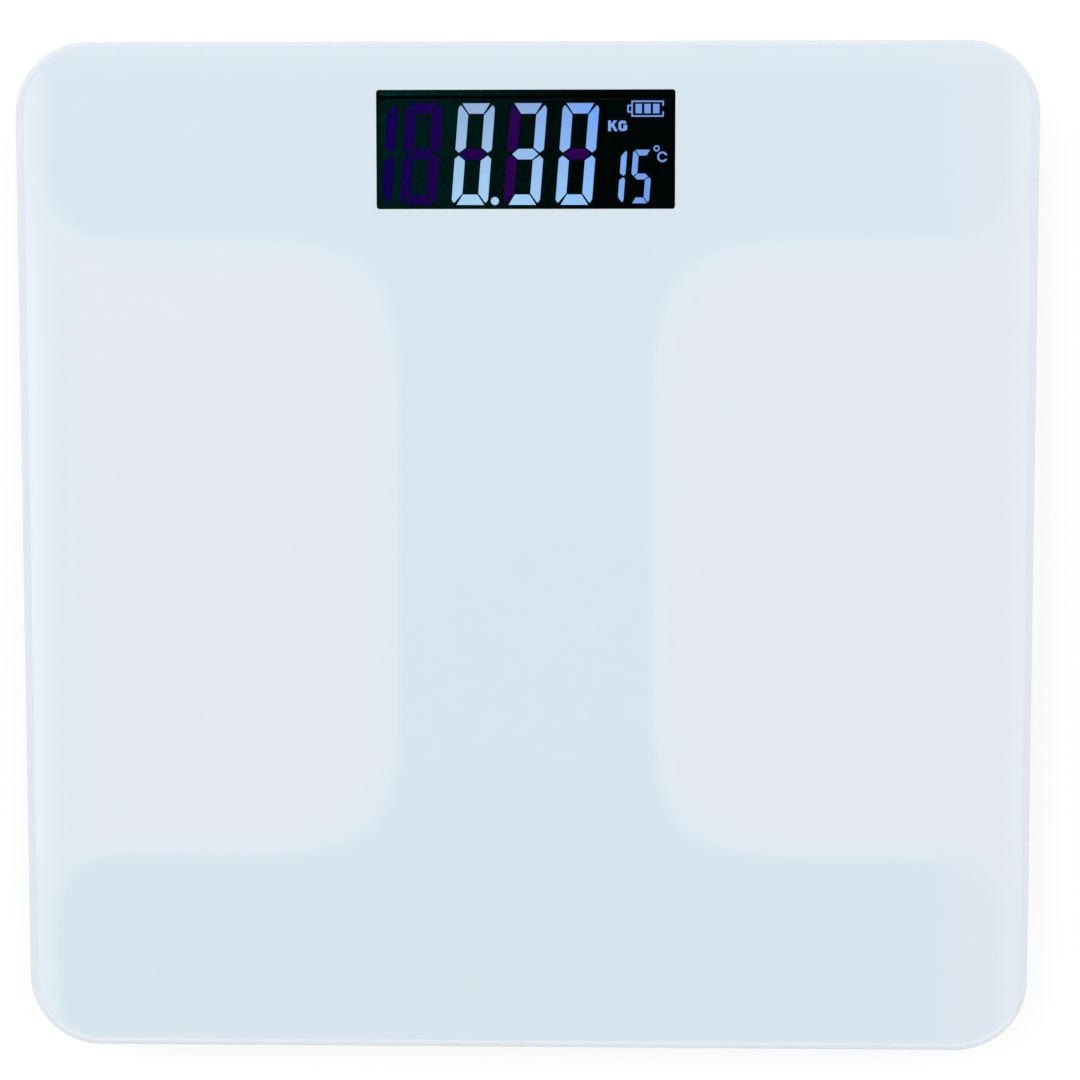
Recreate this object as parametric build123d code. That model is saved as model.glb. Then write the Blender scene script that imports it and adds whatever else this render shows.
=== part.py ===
from build123d import *
from math import pi, radians, tan
import os

# Digital bathroom scale: a glass platform bonded to an I-shaped base that stands on four weighing feet.
# Millimetres. The floor is z = 0, the display lies towards +Y, and the platform's middle is x = y = 0.

# Glass platform, its white back print and the bead that bonds it to the base
GLASS_SIDE = 280.0
GLASS_CORNER_R = 20.0
GLASS_T = 5.0
GLASS_EDGE_R = 1.5
PRINT_T = 0.2
PRINT_BORDER = 0.1
GLUE_T = 0.8
GLUE_INSET = 0.25

# Base moulding
FLOOR_GAP = 4.0
BASE_MARGIN = 7.0
WALL = 2.0
BASE_FLOOR_T = 2.0
BASE_EDGE_R = 3.0
COLUMN_WIDTH = 70.0
COLUMN_CORNER_R = 24.0
BAR_CORNER_R = 14.0
RIB_T = 1.5
RIB_H = 4.0
LABEL_W = 60.0
LABEL_H = 24.0
LABEL_RECESS = 0.4

# Display, its frame and the board below it
WINDOW_W = 82.0
WINDOW_H = 32.5
WINDOW_CORNER_R = 0.8
LCD_BORDER = 1.5
LCD_GLASS_T = 0.7
LC_GAP = 0.1
LCD_LEDGE = 3.2
SEAL_W = 1.0
SEGMENT_T = 0.08
GASKET_T = 0.4
GASKET_SETBACK = 0.3
FRAME_WALL = 1.2
FRAME_FIT = 0.15
FRAME_REAR_ROOM = 1.15
FRAME_FRONT_ROOM = 3.65
EAR_SIDE = 8.0
EAR_T = 2.2
GUIDE_T = 2.4
GUIDE_SIDE = 2.4
REFLECTOR_T = 0.3
LED_T = 1.6
LED_W = 3.2
LED_H = 2.0
BOARD_T = 1.6
POST_R = 3.0

# Components below the board, placed from the display's middle
BLOB_R = 7.0
BLOB_H = 1.6
BLOB_X = -8.0
BLOB_Y = 4.0
CRYSTAL_L = 8.0
CRYSTAL_W = 3.0
CRYSTAL_H = 2.5
CRYSTAL_X = 12.0
CAPACITOR_R = 2.5
CAPACITOR_H = 4.0
CAPACITOR_X = -28.0
CAPACITOR_PITCH = 7.0
COMPONENT_Y = 8.0
CHIP_L = 2.0
CHIP_W = 1.2
CHIP_H = 0.6
CHIP_X = 8.0
CHIP_Y = 2.0
CHIP_PITCH = 3.2

# Digits, drawn on a grid about the middle of a window of this size and stretched to the real one
ART_W = 82.0
ART_H = 32.5
ART_SQUARE = 1.0
SLANT_DEG = 4.45
DIGIT_W = 10.0
DIGIT_H = 27.7
DIGIT_STROKE = 2.7
DIGIT_Y = -15.1
SMALL_W = 5.4
SMALL_H = 14.6
SMALL_STROKE = 1.5
SMALL_Y = -14.7
POINT_R = 1.1
MARK_STROKE = 0.4
LETTER_STROKE = 0.74
DEGREE_R = 0.85
CELSIUS_R = 1.45
CELSIUS_STROKE = 0.5

# Feet
FOOT_D = 34.0
FOOT_CLEAR = 0.5
FOOT_LIP = 2.5
FOOT_WALL = 2.0
FOOT_WEB_T = 2.8
FOOT_CHAMFER = 0.8
FLANGE_T = 1.0
FLANGE_LIFT = 0.2
FOOT_TRAVEL = 0.8
STEM_R = 5.0
PAD_D = 30.0
PAD_T = 2.2
PAD_PROUD = 1.2
PAD_FIT = 0.1
PAD_GROOVE = 0.6
BEZEL_W = 2.5
BEZEL_H = 0.6
POD_ROOM = 2.0

# Load cells and the blocks that carry them
CELL_SIDE = 34.0
CELL_T = 2.5
CELL_CORNER_R = 3.0
CELL_RIM = 5.5
CELL_SLOT = 2.0
TONGUE_W = 12.0
TONGUE_TIP = 6.5
NECK_W = 8.0
NECK_L = 6.0
CARRIER_LAP = 2.0
CARRIER_CORNER_R = 8.0
CARRIER_WALL = 2.0
CARRIER_WEB = 1.5
RELIEF_ROOM = 0.5
GAUGE_L = 5.0
GAUGE_W = 5.0
GAUGE_T = 1.2

# Screws
SCREW_FIT = 0.1
CELL_SCREW_R = 1.25
CELL_SCREW_HEAD_R = 2.3
CELL_SCREW_HEAD_T = 1.2
CELL_SCREW_BITE = 2.6
HEAD_ROOM = 0.3
FOOT_SCREW_R = 1.5
FOOT_SCREW_HEAD_R = 2.8
FOOT_SCREW_HEAD_T = 1.4
FRAME_SCREW_R = 1.1
FRAME_SCREW_HEAD_R = 2.2
FRAME_SCREW_HEAD_T = 1.4
FRAME_SCREW_BITE = 4.0

# Battery bay, cells, contacts and door
BATTERY_D = 10.5
BATTERY_L = 44.5
NUB_R = 1.9
NUB_L = 1.0
SLEEVE_T = 0.15
SLEEVE_END = 0.8
SHRINK_GAP = 0.02
BATTERY_LIFT = 0.3
BATTERY_ROOM = 0.3
BATTERY_GAP = 0.5
BAY_WALL = 1.4
BAY_ROOF_T = 1.0
BAY_ROOF_ROOM = 1.4
BAY_SETBACK = 12.0
CONTACT_T = 0.4
CONTACT_W = 8.5
CONTACT_H = 8.0
PLUS_ROOM = 1.4
PLUS_BOSS_R = 1.6
MINUS_ROOM = 3.4
LEAF_FOOT = 3.8
LEAF_TOP = 1.5
LEAF_H = 5.0
TAIL_W = 3.0
TAIL_REACH = 2.5
TAIL_LIFT = 2.0
TAIL_FIT = 0.2
DOOR_LAP = 2.5
DOOR_T = 1.6
DOOR_GAP = 0.2
DOOR_TONGUE_W = 1.5
DOOR_TONGUE_T = 0.8
RAIL_T = 1.6
RAIL_CLEAR = 0.3
RAIL_GAP = 0.2
GRIP_W = 14.0
GRIP_T = 1.0
GRIP_H = 0.4
GRIP_PITCH = 2.2

# Unit switch, its button and the temperature sensor
SWITCH_SIDE = 6.0
SWITCH_H = 2.6
PLUNGER_R = 1.6
PLUNGER_PROUD = 0.9
PLUNGER_FIT = 0.15
PLUNGER_BORE = 1.8
BUTTON_R = 3.5
BUTTON_CLEAR = 0.3
BUTTON_PROUD = 0.8
BUTTON_FLANGE_R = 4.8
BUTTON_FLANGE_T = 0.8
BUTTON_STEM_R = 2.0
BUTTON_TRAVEL = 0.6
BUTTON_FROM_END = 14.0
SENSOR_R = 1.3
SENSOR_H = 2.6
SENSOR_CRADLE_T = 1.0
SENSOR_FIT = 0.3
SENSOR_LEAD_D = 0.5
VENT_L = 8.0
VENT_W = 1.6
VENT_PITCH = 3.2

# Wires
WIRE_D = 1.0
WIRE_PITCH = 1.5
WIRE_LIFT = 0.1
WIRE_BEND = 3.0
WIRE_DROP = 8.0
LANE_BEND = 12.0
PAD_FROM_EDGE = 4.0
GUIDE_POST_T = 1.2
GUIDE_POST_L = 5.0
GUIDE_POST_H = 3.0

# Heights that follow from the sizes above, from the floor up
BASE_DEPTH = BATTERY_LIFT + BATTERY_D + BATTERY_ROOM + BAY_ROOF_T + BAY_ROOF_ROOM
Z_BASE = FLOOR_GAP
Z_FLOOR = Z_BASE + BASE_FLOOR_T
Z_RIM = Z_BASE + BASE_DEPTH
Z_PRINT = Z_RIM + GLUE_T
Z_GLASS = Z_PRINT + PRINT_T
Z_TOP = Z_GLASS + GLASS_T
Z_LCD_TOP = Z_PRINT - GASKET_T
Z_FRONT = Z_LCD_TOP - LCD_GLASS_T
Z_REAR_TOP = Z_FRONT - LC_GAP
Z_REAR = Z_REAR_TOP - LCD_GLASS_T
Z_GUIDE = Z_REAR - GUIDE_T
Z_BOARD_TOP = Z_GUIDE - REFLECTOR_T
Z_BOARD = Z_BOARD_TOP - BOARD_T
Z_FLANGE = Z_FLOOR + FLANGE_LIFT
Z_CELL = Z_FLANGE + FLANGE_T + FOOT_TRAVEL + HEAD_ROOM + CELL_SCREW_HEAD_T
Z_CELL_TOP = Z_CELL + CELL_T
Z_BATTERY = Z_BASE + BATTERY_LIFT + BATTERY_D / 2
Z_BAY_ROOF = Z_BASE + BATTERY_LIFT + BATTERY_D + BATTERY_ROOM
Z_DOOR_TOP = Z_BASE - DOOR_GAP
Z_DOOR = Z_DOOR_TOP - DOOR_T
Z_TAIL = Z_FLOOR + TAIL_LIFT
Z_WIRE = Z_FLOOR + WIRE_LIFT + WIRE_D / 2
Z_WIRE_TOP = Z_CELL_TOP + WIRE_LIFT + WIRE_D / 2

# Widths and places that follow from the sizes above
BASE_HALF = GLASS_SIDE / 2 - BASE_MARGIN
LCD_W = WINDOW_W + 2 * LCD_BORDER
LCD_H = WINDOW_H + 2 * LCD_BORDER
REAR_H = LCD_H - LCD_LEDGE
FRAME_W = LCD_W + 2 * (FRAME_FIT + FRAME_WALL)
FRAME_H = LCD_H + 2 * (FRAME_FIT + FRAME_WALL)
BOARD_W = FRAME_W + 2 * EAR_SIDE
BOARD_H = FRAME_H
CARRIER_SIDE = CELL_SIDE + 2 * CARRIER_LAP
FLANGE_R = FOOT_D / 2 + FOOT_LIP
POD_SIDE = max(CARRIER_SIDE, 2 * FLANGE_R) + 2 * POD_ROOM
BAR_INNER = max(FRAME_REAR_ROOM + FRAME_H + FRAME_FRONT_ROOM, POD_SIDE)
BAR_DEPTH = BAR_INNER + 2 * WALL
BAR_EDGE = BASE_HALF - BAR_DEPTH
POD = BASE_HALF - BAR_DEPTH / 2
DISPLAY_Y = BASE_HALF - WALL - FRAME_REAR_ROOM - FRAME_H / 2
EAR_X = FRAME_W / 2 + EAR_SIDE / 2
EAR_Y = FRAME_H / 2 - EAR_SIDE / 2
REAR_Y = DISPLAY_Y - LCD_LEDGE / 2
CELL_ROOT = CELL_SIDE / 2 - CELL_RIM
CELL_SCREW_AT = CELL_SIDE / 2 - CELL_RIM / 2
GAUGE_AT = CELL_ROOT - NECK_L / 2
RELIEF_H = FOOT_TRAVEL + GAUGE_T + RELIEF_ROOM
WIRE_SLOT = WIRE_PITCH + WIRE_D / 2 + WIRE_LIFT + RELIEF_ROOM
BAY_W = 2 * BATTERY_D + BATTERY_GAP + 2 * BATTERY_ROOM
BAY_L = BATTERY_L + PLUS_ROOM + MINUS_ROOM
BAY_REAR = BAR_EDGE - BAY_SETBACK
BAY_FRONT = BAY_REAR - BAY_L
BATTERY_X = (BATTERY_D + BATTERY_GAP) / 2
DOOR_W = BAY_W + 2 * DOOR_LAP
DOOR_FRONT = BAY_FRONT - DOOR_LAP
DOOR_REAR = BAY_REAR + DOOR_LAP
LANE_X = (BAY_W / 2 + BAY_WALL + COLUMN_WIDTH / 2 - WALL) / 2
BOARD_FRONT = DISPLAY_Y - BOARD_H / 2
PAD_X = BOARD_W / 2 - PAD_FROM_EDGE
PAD_Y = BOARD_FRONT + PAD_FROM_EDGE
BUTTON_X = BOARD_W / 2 - BUTTON_FROM_END
BUTTON_Y = DISPLAY_Y - SWITCH_SIDE
SENSOR_X = (BOARD_W / 2 + POD - CARRIER_SIDE / 2) / 2
SENSOR_Y = DISPLAY_Y - BOARD_H / 4
FEET = {
    "rear_left": (-1, 1),
    "rear_right": (1, 1),
    "front_left": (-1, -1),
    "front_right": (1, -1),
}
TINY = 0.001


def slab(width, depth, low, high, corner=0.0):
    """A flat plate about the Z axis between two heights, with rounded upright edges."""
    plan = RectangleRounded(width, depth, corner) if corner > 0 else Rectangle(width, depth)
    return Pos(0, 0, low) * extrude(plan, high - low)


def block(x_low, x_high, y_low, y_high, z_low, z_high):
    """A plain block given by its limits."""
    plan = Rectangle(x_high - x_low, y_high - y_low, align=(Align.MIN, Align.MIN))
    return Pos(x_low, y_low, z_low) * extrude(plan, z_high - z_low)


def disc(radius, low, high):
    """A round plate about the Z axis between two heights."""
    return Pos(0, 0, low) * extrude(Circle(radius), high - low)


def turned(*points):
    """A solid turned about the Z axis from points given as radius and height."""
    return revolve(Plane.XZ * Polygon(*points), Axis.Z)


def group(*shapes):
    """Several separate solids kept together as one node."""
    return Compound([solid for shape in shapes for solid in shape.solids()])


def screw(head_r, head_t, shank_r, length):
    """A pan-head screw with a cross recess, its head below z = 0 and its shank above."""
    head = disc(head_r, -head_t, 0)
    head = fillet(head.edges().group_by(Axis.Z)[0], 0.4 * head_t)
    body = head + disc(shank_r, 0, length)
    for turn in (0, 90):
        cut = block(-0.6 * head_r, 0.6 * head_r, -0.1 * head_r, 0.1 * head_r, -head_t, -0.45 * head_t)
        body -= Rot(0, 0, turn) * cut
    return body


def wire_run(points, radii, diameter):
    """A round wire along straight runs and tangent arcs."""
    path = FilletPolyline(*points, radius=radii)
    start = Plane(origin=path @ 0, z_dir=path % 0)
    wire = sweep(start * Circle(diameter / 2), path=path)
    section = pi * diameter**2 / 4
    share = wire.volume / section / path.length
    print(f"wire {path.length:.1f} long, volume over section x length {share:.5f}")
    return wire


def at_foot(side, end, shape):
    """A piece drawn about the Z axis with its inner side towards +X, set at one foot."""
    return Pos(side * POD, end * POD, 0) * Rot(0, 0, 90 + 90 * side) * shape


# Glass platform: one sheet with rounded corners, its edges ground round
def glass_platform():
    sheet = slab(GLASS_SIDE, GLASS_SIDE, Z_GLASS, Z_TOP, GLASS_CORNER_R)
    rims = sheet.edges().group_by(Axis.Z)
    return fillet(rims[0] + rims[-1], GLASS_EDGE_R)


# Back print: a white coat under the glass, left clear where the display shows
def back_print():
    side = GLASS_SIDE - 2 * (GLASS_EDGE_R + PRINT_BORDER)
    corner = GLASS_CORNER_R - GLASS_EDGE_R - PRINT_BORDER
    coat = slab(side, side, Z_PRINT, Z_GLASS, corner)
    window = slab(WINDOW_W, WINDOW_H, Z_PRINT - 1, Z_GLASS + 1, WINDOW_CORNER_R)
    return coat - Pos(0, DISPLAY_Y, 0) * window


# Base: plan of two bars joined by a column, drawn in from its outer edge by an inset
def base_plan(inset):
    half = BASE_HALF - inset
    edge = BAR_EDGE + inset
    column = COLUMN_WIDTH / 2 - inset
    right = [(half, -half), (half, -edge), (column, -edge), (column, edge), (half, edge), (half, half)]
    left = [(-x, -y) for x, y in right]
    plan = make_face(Polyline(*right, *left, close=True))
    ends = plan.vertices().filter_by(lambda v: abs(v.X) > half - TINY)
    plan = fillet(ends, BAR_CORNER_R - inset)
    roots = plan.vertices().filter_by(
        lambda v: abs(abs(v.X) - column) < TINY and abs(abs(v.Y) - edge) < TINY
    )
    return fillet(roots, COLUMN_CORNER_R + inset)


# Glue bead: a thin band along the base's rim that bonds it to the print
def glue_bead():
    band = extrude(base_plan(GLUE_INSET), GLUE_T) - extrude(base_plan(WALL - GLUE_INSET), GLUE_T)
    return Pos(0, 0, Z_RIM) * band


def base_tray():
    """Wall and floor of the base, with a rounded outer bottom edge."""
    tray = Pos(0, 0, Z_BASE) * extrude(base_plan(0), BASE_DEPTH)
    tray = fillet(tray.edges().group_by(Axis.Z)[0], BASE_EDGE_R)
    return tray - Pos(0, 0, Z_FLOOR) * extrude(base_plan(WALL), BASE_DEPTH)


def with_foot_openings(base):
    """The four holes for the feet, each with a raised ring round it."""
    hole = FOOT_D / 2 + FOOT_CLEAR
    for side, end in FEET.values():
        place = Pos(side * POD, end * POD, 0)
        base += place * disc(hole + BEZEL_W, Z_BASE - BEZEL_H, Z_FLOOR)
        base -= place * disc(hole, Z_BASE - BEZEL_H - 1, Z_FLOOR + 1)
    return base


def with_battery_bay(base):
    """The bay for two cells, open below, with slots in its rear wall for the contact tails."""
    shell_x = BAY_W / 2 + BAY_WALL
    base += block(
        -shell_x, shell_x, BAY_FRONT - BAY_WALL, BAY_REAR + BAY_WALL, Z_BASE, Z_BAY_ROOF + BAY_ROOF_T
    )
    base -= block(-BAY_W / 2, BAY_W / 2, BAY_FRONT, BAY_REAR, Z_BASE - 1, Z_BAY_ROOF)
    for x in (-BATTERY_X, BATTERY_X):
        half = TAIL_W / 2 + TAIL_FIT
        base -= block(
            x - half, x + half, BAY_REAR - TINY, BAY_REAR + BAY_WALL + 1,
            Z_TAIL - TAIL_FIT, Z_TAIL + CONTACT_T + TAIL_FIT,
        )
    return base


def with_door_rails(base):
    """Two lipped rails below the column and a stop across their rear end."""
    inner = DOOR_W / 2 + RAIL_CLEAR
    outer = inner + RAIL_T
    lip = DOOR_W / 2 - DOOR_TONGUE_W + RAIL_CLEAR
    lip_top = Z_DOOR_TOP - DOOR_TONGUE_T - RAIL_GAP
    stop = DOOR_REAR + RAIL_CLEAR
    root = Z_BASE + BASE_FLOOR_T / 2
    for low, high, lip_low, lip_high in ((-outer, -inner, -outer, -lip), (inner, outer, lip, outer)):
        base += block(low, high, DOOR_FRONT, stop + RAIL_T, Z_DOOR, root)
        base += block(lip_low, lip_high, DOOR_FRONT, stop + RAIL_T, Z_DOOR, lip_top)
    return base + block(-outer, outer, stop, stop + RAIL_T, Z_DOOR, root)


def with_board_posts(base):
    """Four posts with pilot holes that carry the board and the display frame."""
    for x in (-EAR_X, EAR_X):
        for y in (DISPLAY_Y - EAR_Y, DISPLAY_Y + EAR_Y):
            base += Pos(x, y, 0) * disc(POST_R, Z_BASE + BASE_FLOOR_T / 2, Z_BOARD)
            hole = disc(FRAME_SCREW_R + SCREW_FIT / 2, Z_BOARD - FRAME_SCREW_BITE - 0.3, Z_BOARD + 1)
            base -= Pos(x, y, 0) * hole
    return base


def guide_posts(x, y, along_x):
    """A pair of low posts either side of a bundle of three wires."""
    near = WIRE_PITCH + WIRE_D / 2 + WIRE_LIFT + TAIL_FIT
    far = near + GUIDE_POST_T
    low = Z_BASE + BASE_FLOOR_T / 2
    high = Z_FLOOR + GUIDE_POST_H
    half = GUIDE_POST_L / 2
    pair = block(-half, half, near, far, low, high) + block(-half, half, -far, -near, low, high)
    return Pos(x, y, 0) * Rot(0, 0, 0 if along_x else 90) * pair


def with_wire_guides(base):
    """Wire guides along the bars and the column, and low ribs across the column's front half."""
    bar_x = (LANE_X + LANE_BEND + POD - CARRIER_SIDE / 2 - WIRE_DROP) / 2
    for side in (-1, 1):
        base += guide_posts(side * SENSOR_X, POD, True)
        base += guide_posts(side * bar_x, -POD, True)
        for y in (-BAR_EDGE / 2, BAY_FRONT, BAY_REAR):
            base += guide_posts(side * LANE_X, y, False)
    room = WIRE_PITCH + WIRE_D + GUIDE_POST_T
    reach = COLUMN_WIDTH / 2 - WALL / 2
    low = Z_BASE + BASE_FLOOR_T / 2
    for y in (-BAR_EDGE * 0.75, -BAR_EDGE * 0.25):
        base += block(-LANE_X + room, LANE_X - room, y, y + RIB_T, low, Z_FLOOR + RIB_H)
        base += block(-reach, -LANE_X - room, y, y + RIB_T, low, Z_FLOOR + RIB_H)
        base += block(LANE_X + room, reach, y, y + RIB_T, low, Z_FLOOR + RIB_H)
    return base


def with_small_openings(base):
    """Button hole, sensor cradle and its vents, and the shallow bare place for a rating label."""
    base -= Pos(BUTTON_X, BUTTON_Y, 0) * disc(BUTTON_R + BUTTON_CLEAR, Z_BASE - 1, Z_FLOOR + 1)
    bore = SENSOR_R + SENSOR_FIT
    cradle = disc(bore + SENSOR_CRADLE_T, Z_BASE + BASE_FLOOR_T / 2, Z_FLOOR + SENSOR_H * 0.7)
    base += Pos(SENSOR_X, SENSOR_Y, 0) * (cradle - disc(bore, Z_FLOOR, Z_FLOOR + SENSOR_H))
    for row in (-1, 0, 1):
        slot = slab(VENT_L, VENT_W, Z_BASE - 1, Z_FLOOR + 1, 0.45 * VENT_W)
        base -= Pos(SENSOR_X + VENT_L, SENSOR_Y + row * VENT_PITCH, 0) * slot
    recess = slab(LABEL_W, LABEL_H, Z_BASE - 1, Z_BASE + LABEL_RECESS, 2.0)
    return base - Pos(0, -POD, 0) * recess


# Base shell: the tray with everything moulded on it
def base_shell():
    base = with_foot_openings(base_tray())
    base = with_battery_bay(base)
    base = with_door_rails(base)
    base = with_board_posts(base)
    base = with_wire_guides(base)
    return with_small_openings(base)


# Foot cap: a round shell with a flange that keeps it in the base and a stem that meets the load cell
def foot_cap():
    rim = FOOT_D / 2
    seat = Z_CELL
    bore = FOOT_SCREW_R + SCREW_FIT
    well = FOOT_SCREW_HEAD_R + SCREW_FIT
    return turned(
        (PAD_D / 2 + PAD_FIT, PAD_PROUD),
        (rim - FOOT_CHAMFER, PAD_PROUD),
        (rim, PAD_PROUD + FOOT_CHAMFER),
        (rim, Z_FLANGE),
        (FLANGE_R, Z_FLANGE),
        (FLANGE_R, Z_FLANGE + FLANGE_T),
        (rim - FOOT_WALL, Z_FLANGE + FLANGE_T),
        (rim - FOOT_WALL, PAD_T + FOOT_WEB_T),
        (STEM_R, PAD_T + FOOT_WEB_T),
        (STEM_R, seat),
        (bore, seat),
        (bore, PAD_T + FOOT_SCREW_HEAD_T + SCREW_FIT),
        (well, PAD_T + FOOT_SCREW_HEAD_T + SCREW_FIT),
        (well, PAD_T),
        (PAD_D / 2 + PAD_FIT, PAD_T),
    )


# Foot pad: a rubber disc with one round groove in its tread
def foot_pad():
    edge = PAD_D / 2
    return turned(
        (0, 0),
        (0.6 * edge, 0),
        (0.6 * edge, PAD_GROOVE),
        (0.7 * edge, PAD_GROOVE),
        (0.7 * edge, 0),
        (edge - PAD_GROOVE, 0),
        (edge, PAD_GROOVE),
        (edge, PAD_T),
        (0, PAD_T),
    )


# Foot screw: up through the cap's stem into the tongue of the load cell
def foot_screw():
    seat = PAD_T + FOOT_SCREW_HEAD_T + SCREW_FIT
    length = Z_CELL_TOP - SCREW_FIT - seat
    return Pos(0, 0, seat) * screw(FOOT_SCREW_HEAD_R, FOOT_SCREW_HEAD_T, FOOT_SCREW_R, length)


# Load cell: a stamped steel plate whose tongue, cut free by a U-shaped slot, carries the foot
def load_cell():
    plate = slab(CELL_SIDE, CELL_SIDE, Z_CELL, Z_CELL_TOP, CELL_CORNER_R)
    low = Z_CELL - 1
    high = Z_CELL_TOP + 1
    wide = TONGUE_W / 2 + CELL_SLOT
    slot = block(-TONGUE_TIP - CELL_SLOT, CELL_ROOT, -wide, wide, low, high)
    slot -= block(-TONGUE_TIP, CELL_ROOT - NECK_L, -TONGUE_W / 2, TONGUE_W / 2, low, high)
    slot -= block(-TONGUE_TIP, CELL_ROOT + 1, -NECK_W / 2, NECK_W / 2, low, high)
    plate -= slot
    plate -= disc(FOOT_SCREW_R + SCREW_FIT, low, high)
    for sign in (-1, 1):
        hole = disc(CELL_SCREW_R + SCREW_FIT, low, high)
        plate -= Pos(sign * CELL_SCREW_AT, -sign * CELL_SCREW_AT, 0) * hole
    return plate


# Cell carrier: a ribbed block glued under the print, bearing on the rim of the load cell
def cell_carrier():
    body = slab(CARRIER_SIDE, CARRIER_SIDE, Z_CELL_TOP, Z_PRINT, CARRIER_CORNER_R)
    wide = TONGUE_W / 2 + CELL_SLOT
    low = Z_CELL_TOP - 1
    body -= block(-TONGUE_TIP - CELL_SLOT, CELL_ROOT, -wide, wide, low, Z_CELL_TOP + RELIEF_H)
    body -= block(0, CARRIER_SIDE, -WIRE_SLOT, WIRE_SLOT, low, Z_WIRE_TOP + WIRE_D / 2 + RELIEF_ROOM)
    side = (CARRIER_SIDE - 3 * CARRIER_WALL) / 2
    at = (side + CARRIER_WALL) / 2
    pocket = slab(side, side, Z_CELL_TOP + RELIEF_H + CARRIER_WEB, Z_PRINT + 1, 0.3 * side)
    for x in (-at, at):
        for y in (-at, at):
            body -= Pos(x, y, 0) * pocket
    for sign in (-1, 1):
        hole = disc(CELL_SCREW_R + SCREW_FIT / 2, low, Z_CELL_TOP + CELL_SCREW_BITE + 0.3)
        body -= Pos(sign * CELL_SCREW_AT, -sign * CELL_SCREW_AT, 0) * hole
    return body


# Cell screws: two to each load cell, up through its rim into the carrier
def cell_screw_pair():
    one = screw(CELL_SCREW_HEAD_R, CELL_SCREW_HEAD_T, CELL_SCREW_R, CELL_T + CELL_SCREW_BITE)
    one = Pos(0, 0, Z_CELL) * one
    places = [(sign * CELL_SCREW_AT, -sign * CELL_SCREW_AT) for sign in (-1, 1)]
    return group(*[Pos(x, y, 0) * one for x, y in places])


# Strain gauge: glued on the neck of the tongue under a block of potting
def strain_gauge():
    potting = slab(GAUGE_L, GAUGE_W, Z_CELL_TOP, Z_CELL_TOP + GAUGE_T)
    potting = fillet(potting.edges().group_by(Axis.Z)[-1], 0.3 * GAUGE_T)
    return Pos(GAUGE_AT, 0, 0) * potting


# Load-cell wires: from the gauge, down to the base's floor and along it to the board
def cell_wire(side, end, lane):
    shift = lane * WIRE_PITCH
    y = end * POD + shift
    gauge_x = POD - GAUGE_AT - GAUGE_L / 2
    edge_x = POD - CARRIER_SIDE / 2 - WIRE_BEND
    points = [
        (side * gauge_x, y, Z_WIRE_TOP),
        (side * edge_x, y, Z_WIRE_TOP),
        (side * (edge_x - WIRE_DROP), y, Z_WIRE),
    ]
    radii = [WIRE_BEND, WIRE_BEND]
    if end > 0:
        points += [(side * PAD_X, y, Z_WIRE), (side * PAD_X, y, Z_BOARD)]
        radii += [WIRE_BEND]
    else:
        lane_x = side * (LANE_X + shift)
        points += [(lane_x, y, Z_WIRE), (lane_x, PAD_Y, Z_WIRE), (lane_x, PAD_Y, Z_BOARD)]
        radii += [LANE_BEND - shift, WIRE_BEND]
    return wire_run(points, radii, WIRE_D)


# Liquid crystal display: front glass with a contact ledge, rear glass, and the seal between them
def lcd_front_glass():
    return Pos(0, DISPLAY_Y, 0) * slab(LCD_W, LCD_H, Z_FRONT, Z_LCD_TOP)


def lcd_rear_glass():
    return Pos(0, REAR_Y, 0) * slab(LCD_W, REAR_H, Z_REAR, Z_REAR_TOP)


def lcd_seal():
    ring = slab(LCD_W, REAR_H, Z_REAR_TOP, Z_FRONT)
    ring -= slab(LCD_W - 2 * SEAL_W, REAR_H - 2 * SEAL_W, Z_REAR_TOP - 1, Z_FRONT + 1)
    return Pos(0, REAR_Y, 0) * ring


def art_point(x, y):
    """A point of the display's artwork, stretched to the window and set in its place."""
    return (x * WINDOW_W / ART_W, DISPLAY_Y + y * WINDOW_H / ART_H)


def on_grid(*points):
    """Places that are counted in squares of the grid that the artwork is drawn on, as lengths."""
    return [(x * ART_SQUARE, y * ART_SQUARE) for x, y in points]


def art_plan(points):
    """A filled outline of the artwork."""
    return Polygon(*[art_point(x, y) for x, y in points])


def art_solid(plan):
    """A thin electrode of the display from its plan."""
    return Pos(0, 0, Z_REAR_TOP) * extrude(plan, SEGMENT_T, dir=(0, 0, 1))


def digit_bars(width, height, stroke):
    """The seven bars of a digit in an upright box, by their usual letters; their corners are in strokes."""
    mid = height / 2
    top = [(0.36, 0), (width / stroke - 0.54, 0), (width / stroke - 1.1, 1.05), (1.12, 1.05)]
    top = [(u * stroke, height - v * stroke) for u, v in top]
    left_top = [(0, 0.57), (0.14, 0.29), (0.28, 0.22), (1.04, 1.18)]
    left_foot = [(1.04, 0.65), (0.37, 0.15), (0, 0.48)]
    left = [(u * stroke, height - v * stroke) for u, v in left_top]
    left += [(u * stroke, mid + v * stroke) for u, v in left_foot]
    right = [(width - u, v) for u, v in left]
    tip, shoulder, half = 0.53 * stroke, 1.11 * stroke, 0.53 * stroke
    middle = [
        (tip, mid), (shoulder, mid + half), (width - shoulder, mid + half),
        (width - tip, mid), (width - shoulder, mid - half), (shoulder, mid - half),
    ]
    bars = {"a": top, "b": right, "f": left, "g": middle}
    for upper, lower in ("ad", "be", "fc"):
        bars[lower] = [(width - u, height - v) for u, v in bars[upper]]
    return bars


def digit(bars, letters, x, y):
    """The named bars of one slanted digit whose lower left corner is at x, y."""
    lean = tan(radians(SLANT_DEG))
    shapes = []
    for letter in letters:
        shapes.append(art_solid(art_plan([(x + u + v * lean, y + v) for u, v in bars[letter]])))
    return shapes


def art_line(points, stroke):
    """A stroke of the artwork along a line of points."""
    return trace(Polyline(*[art_point(x, y) for x, y in points]), stroke)


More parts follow.
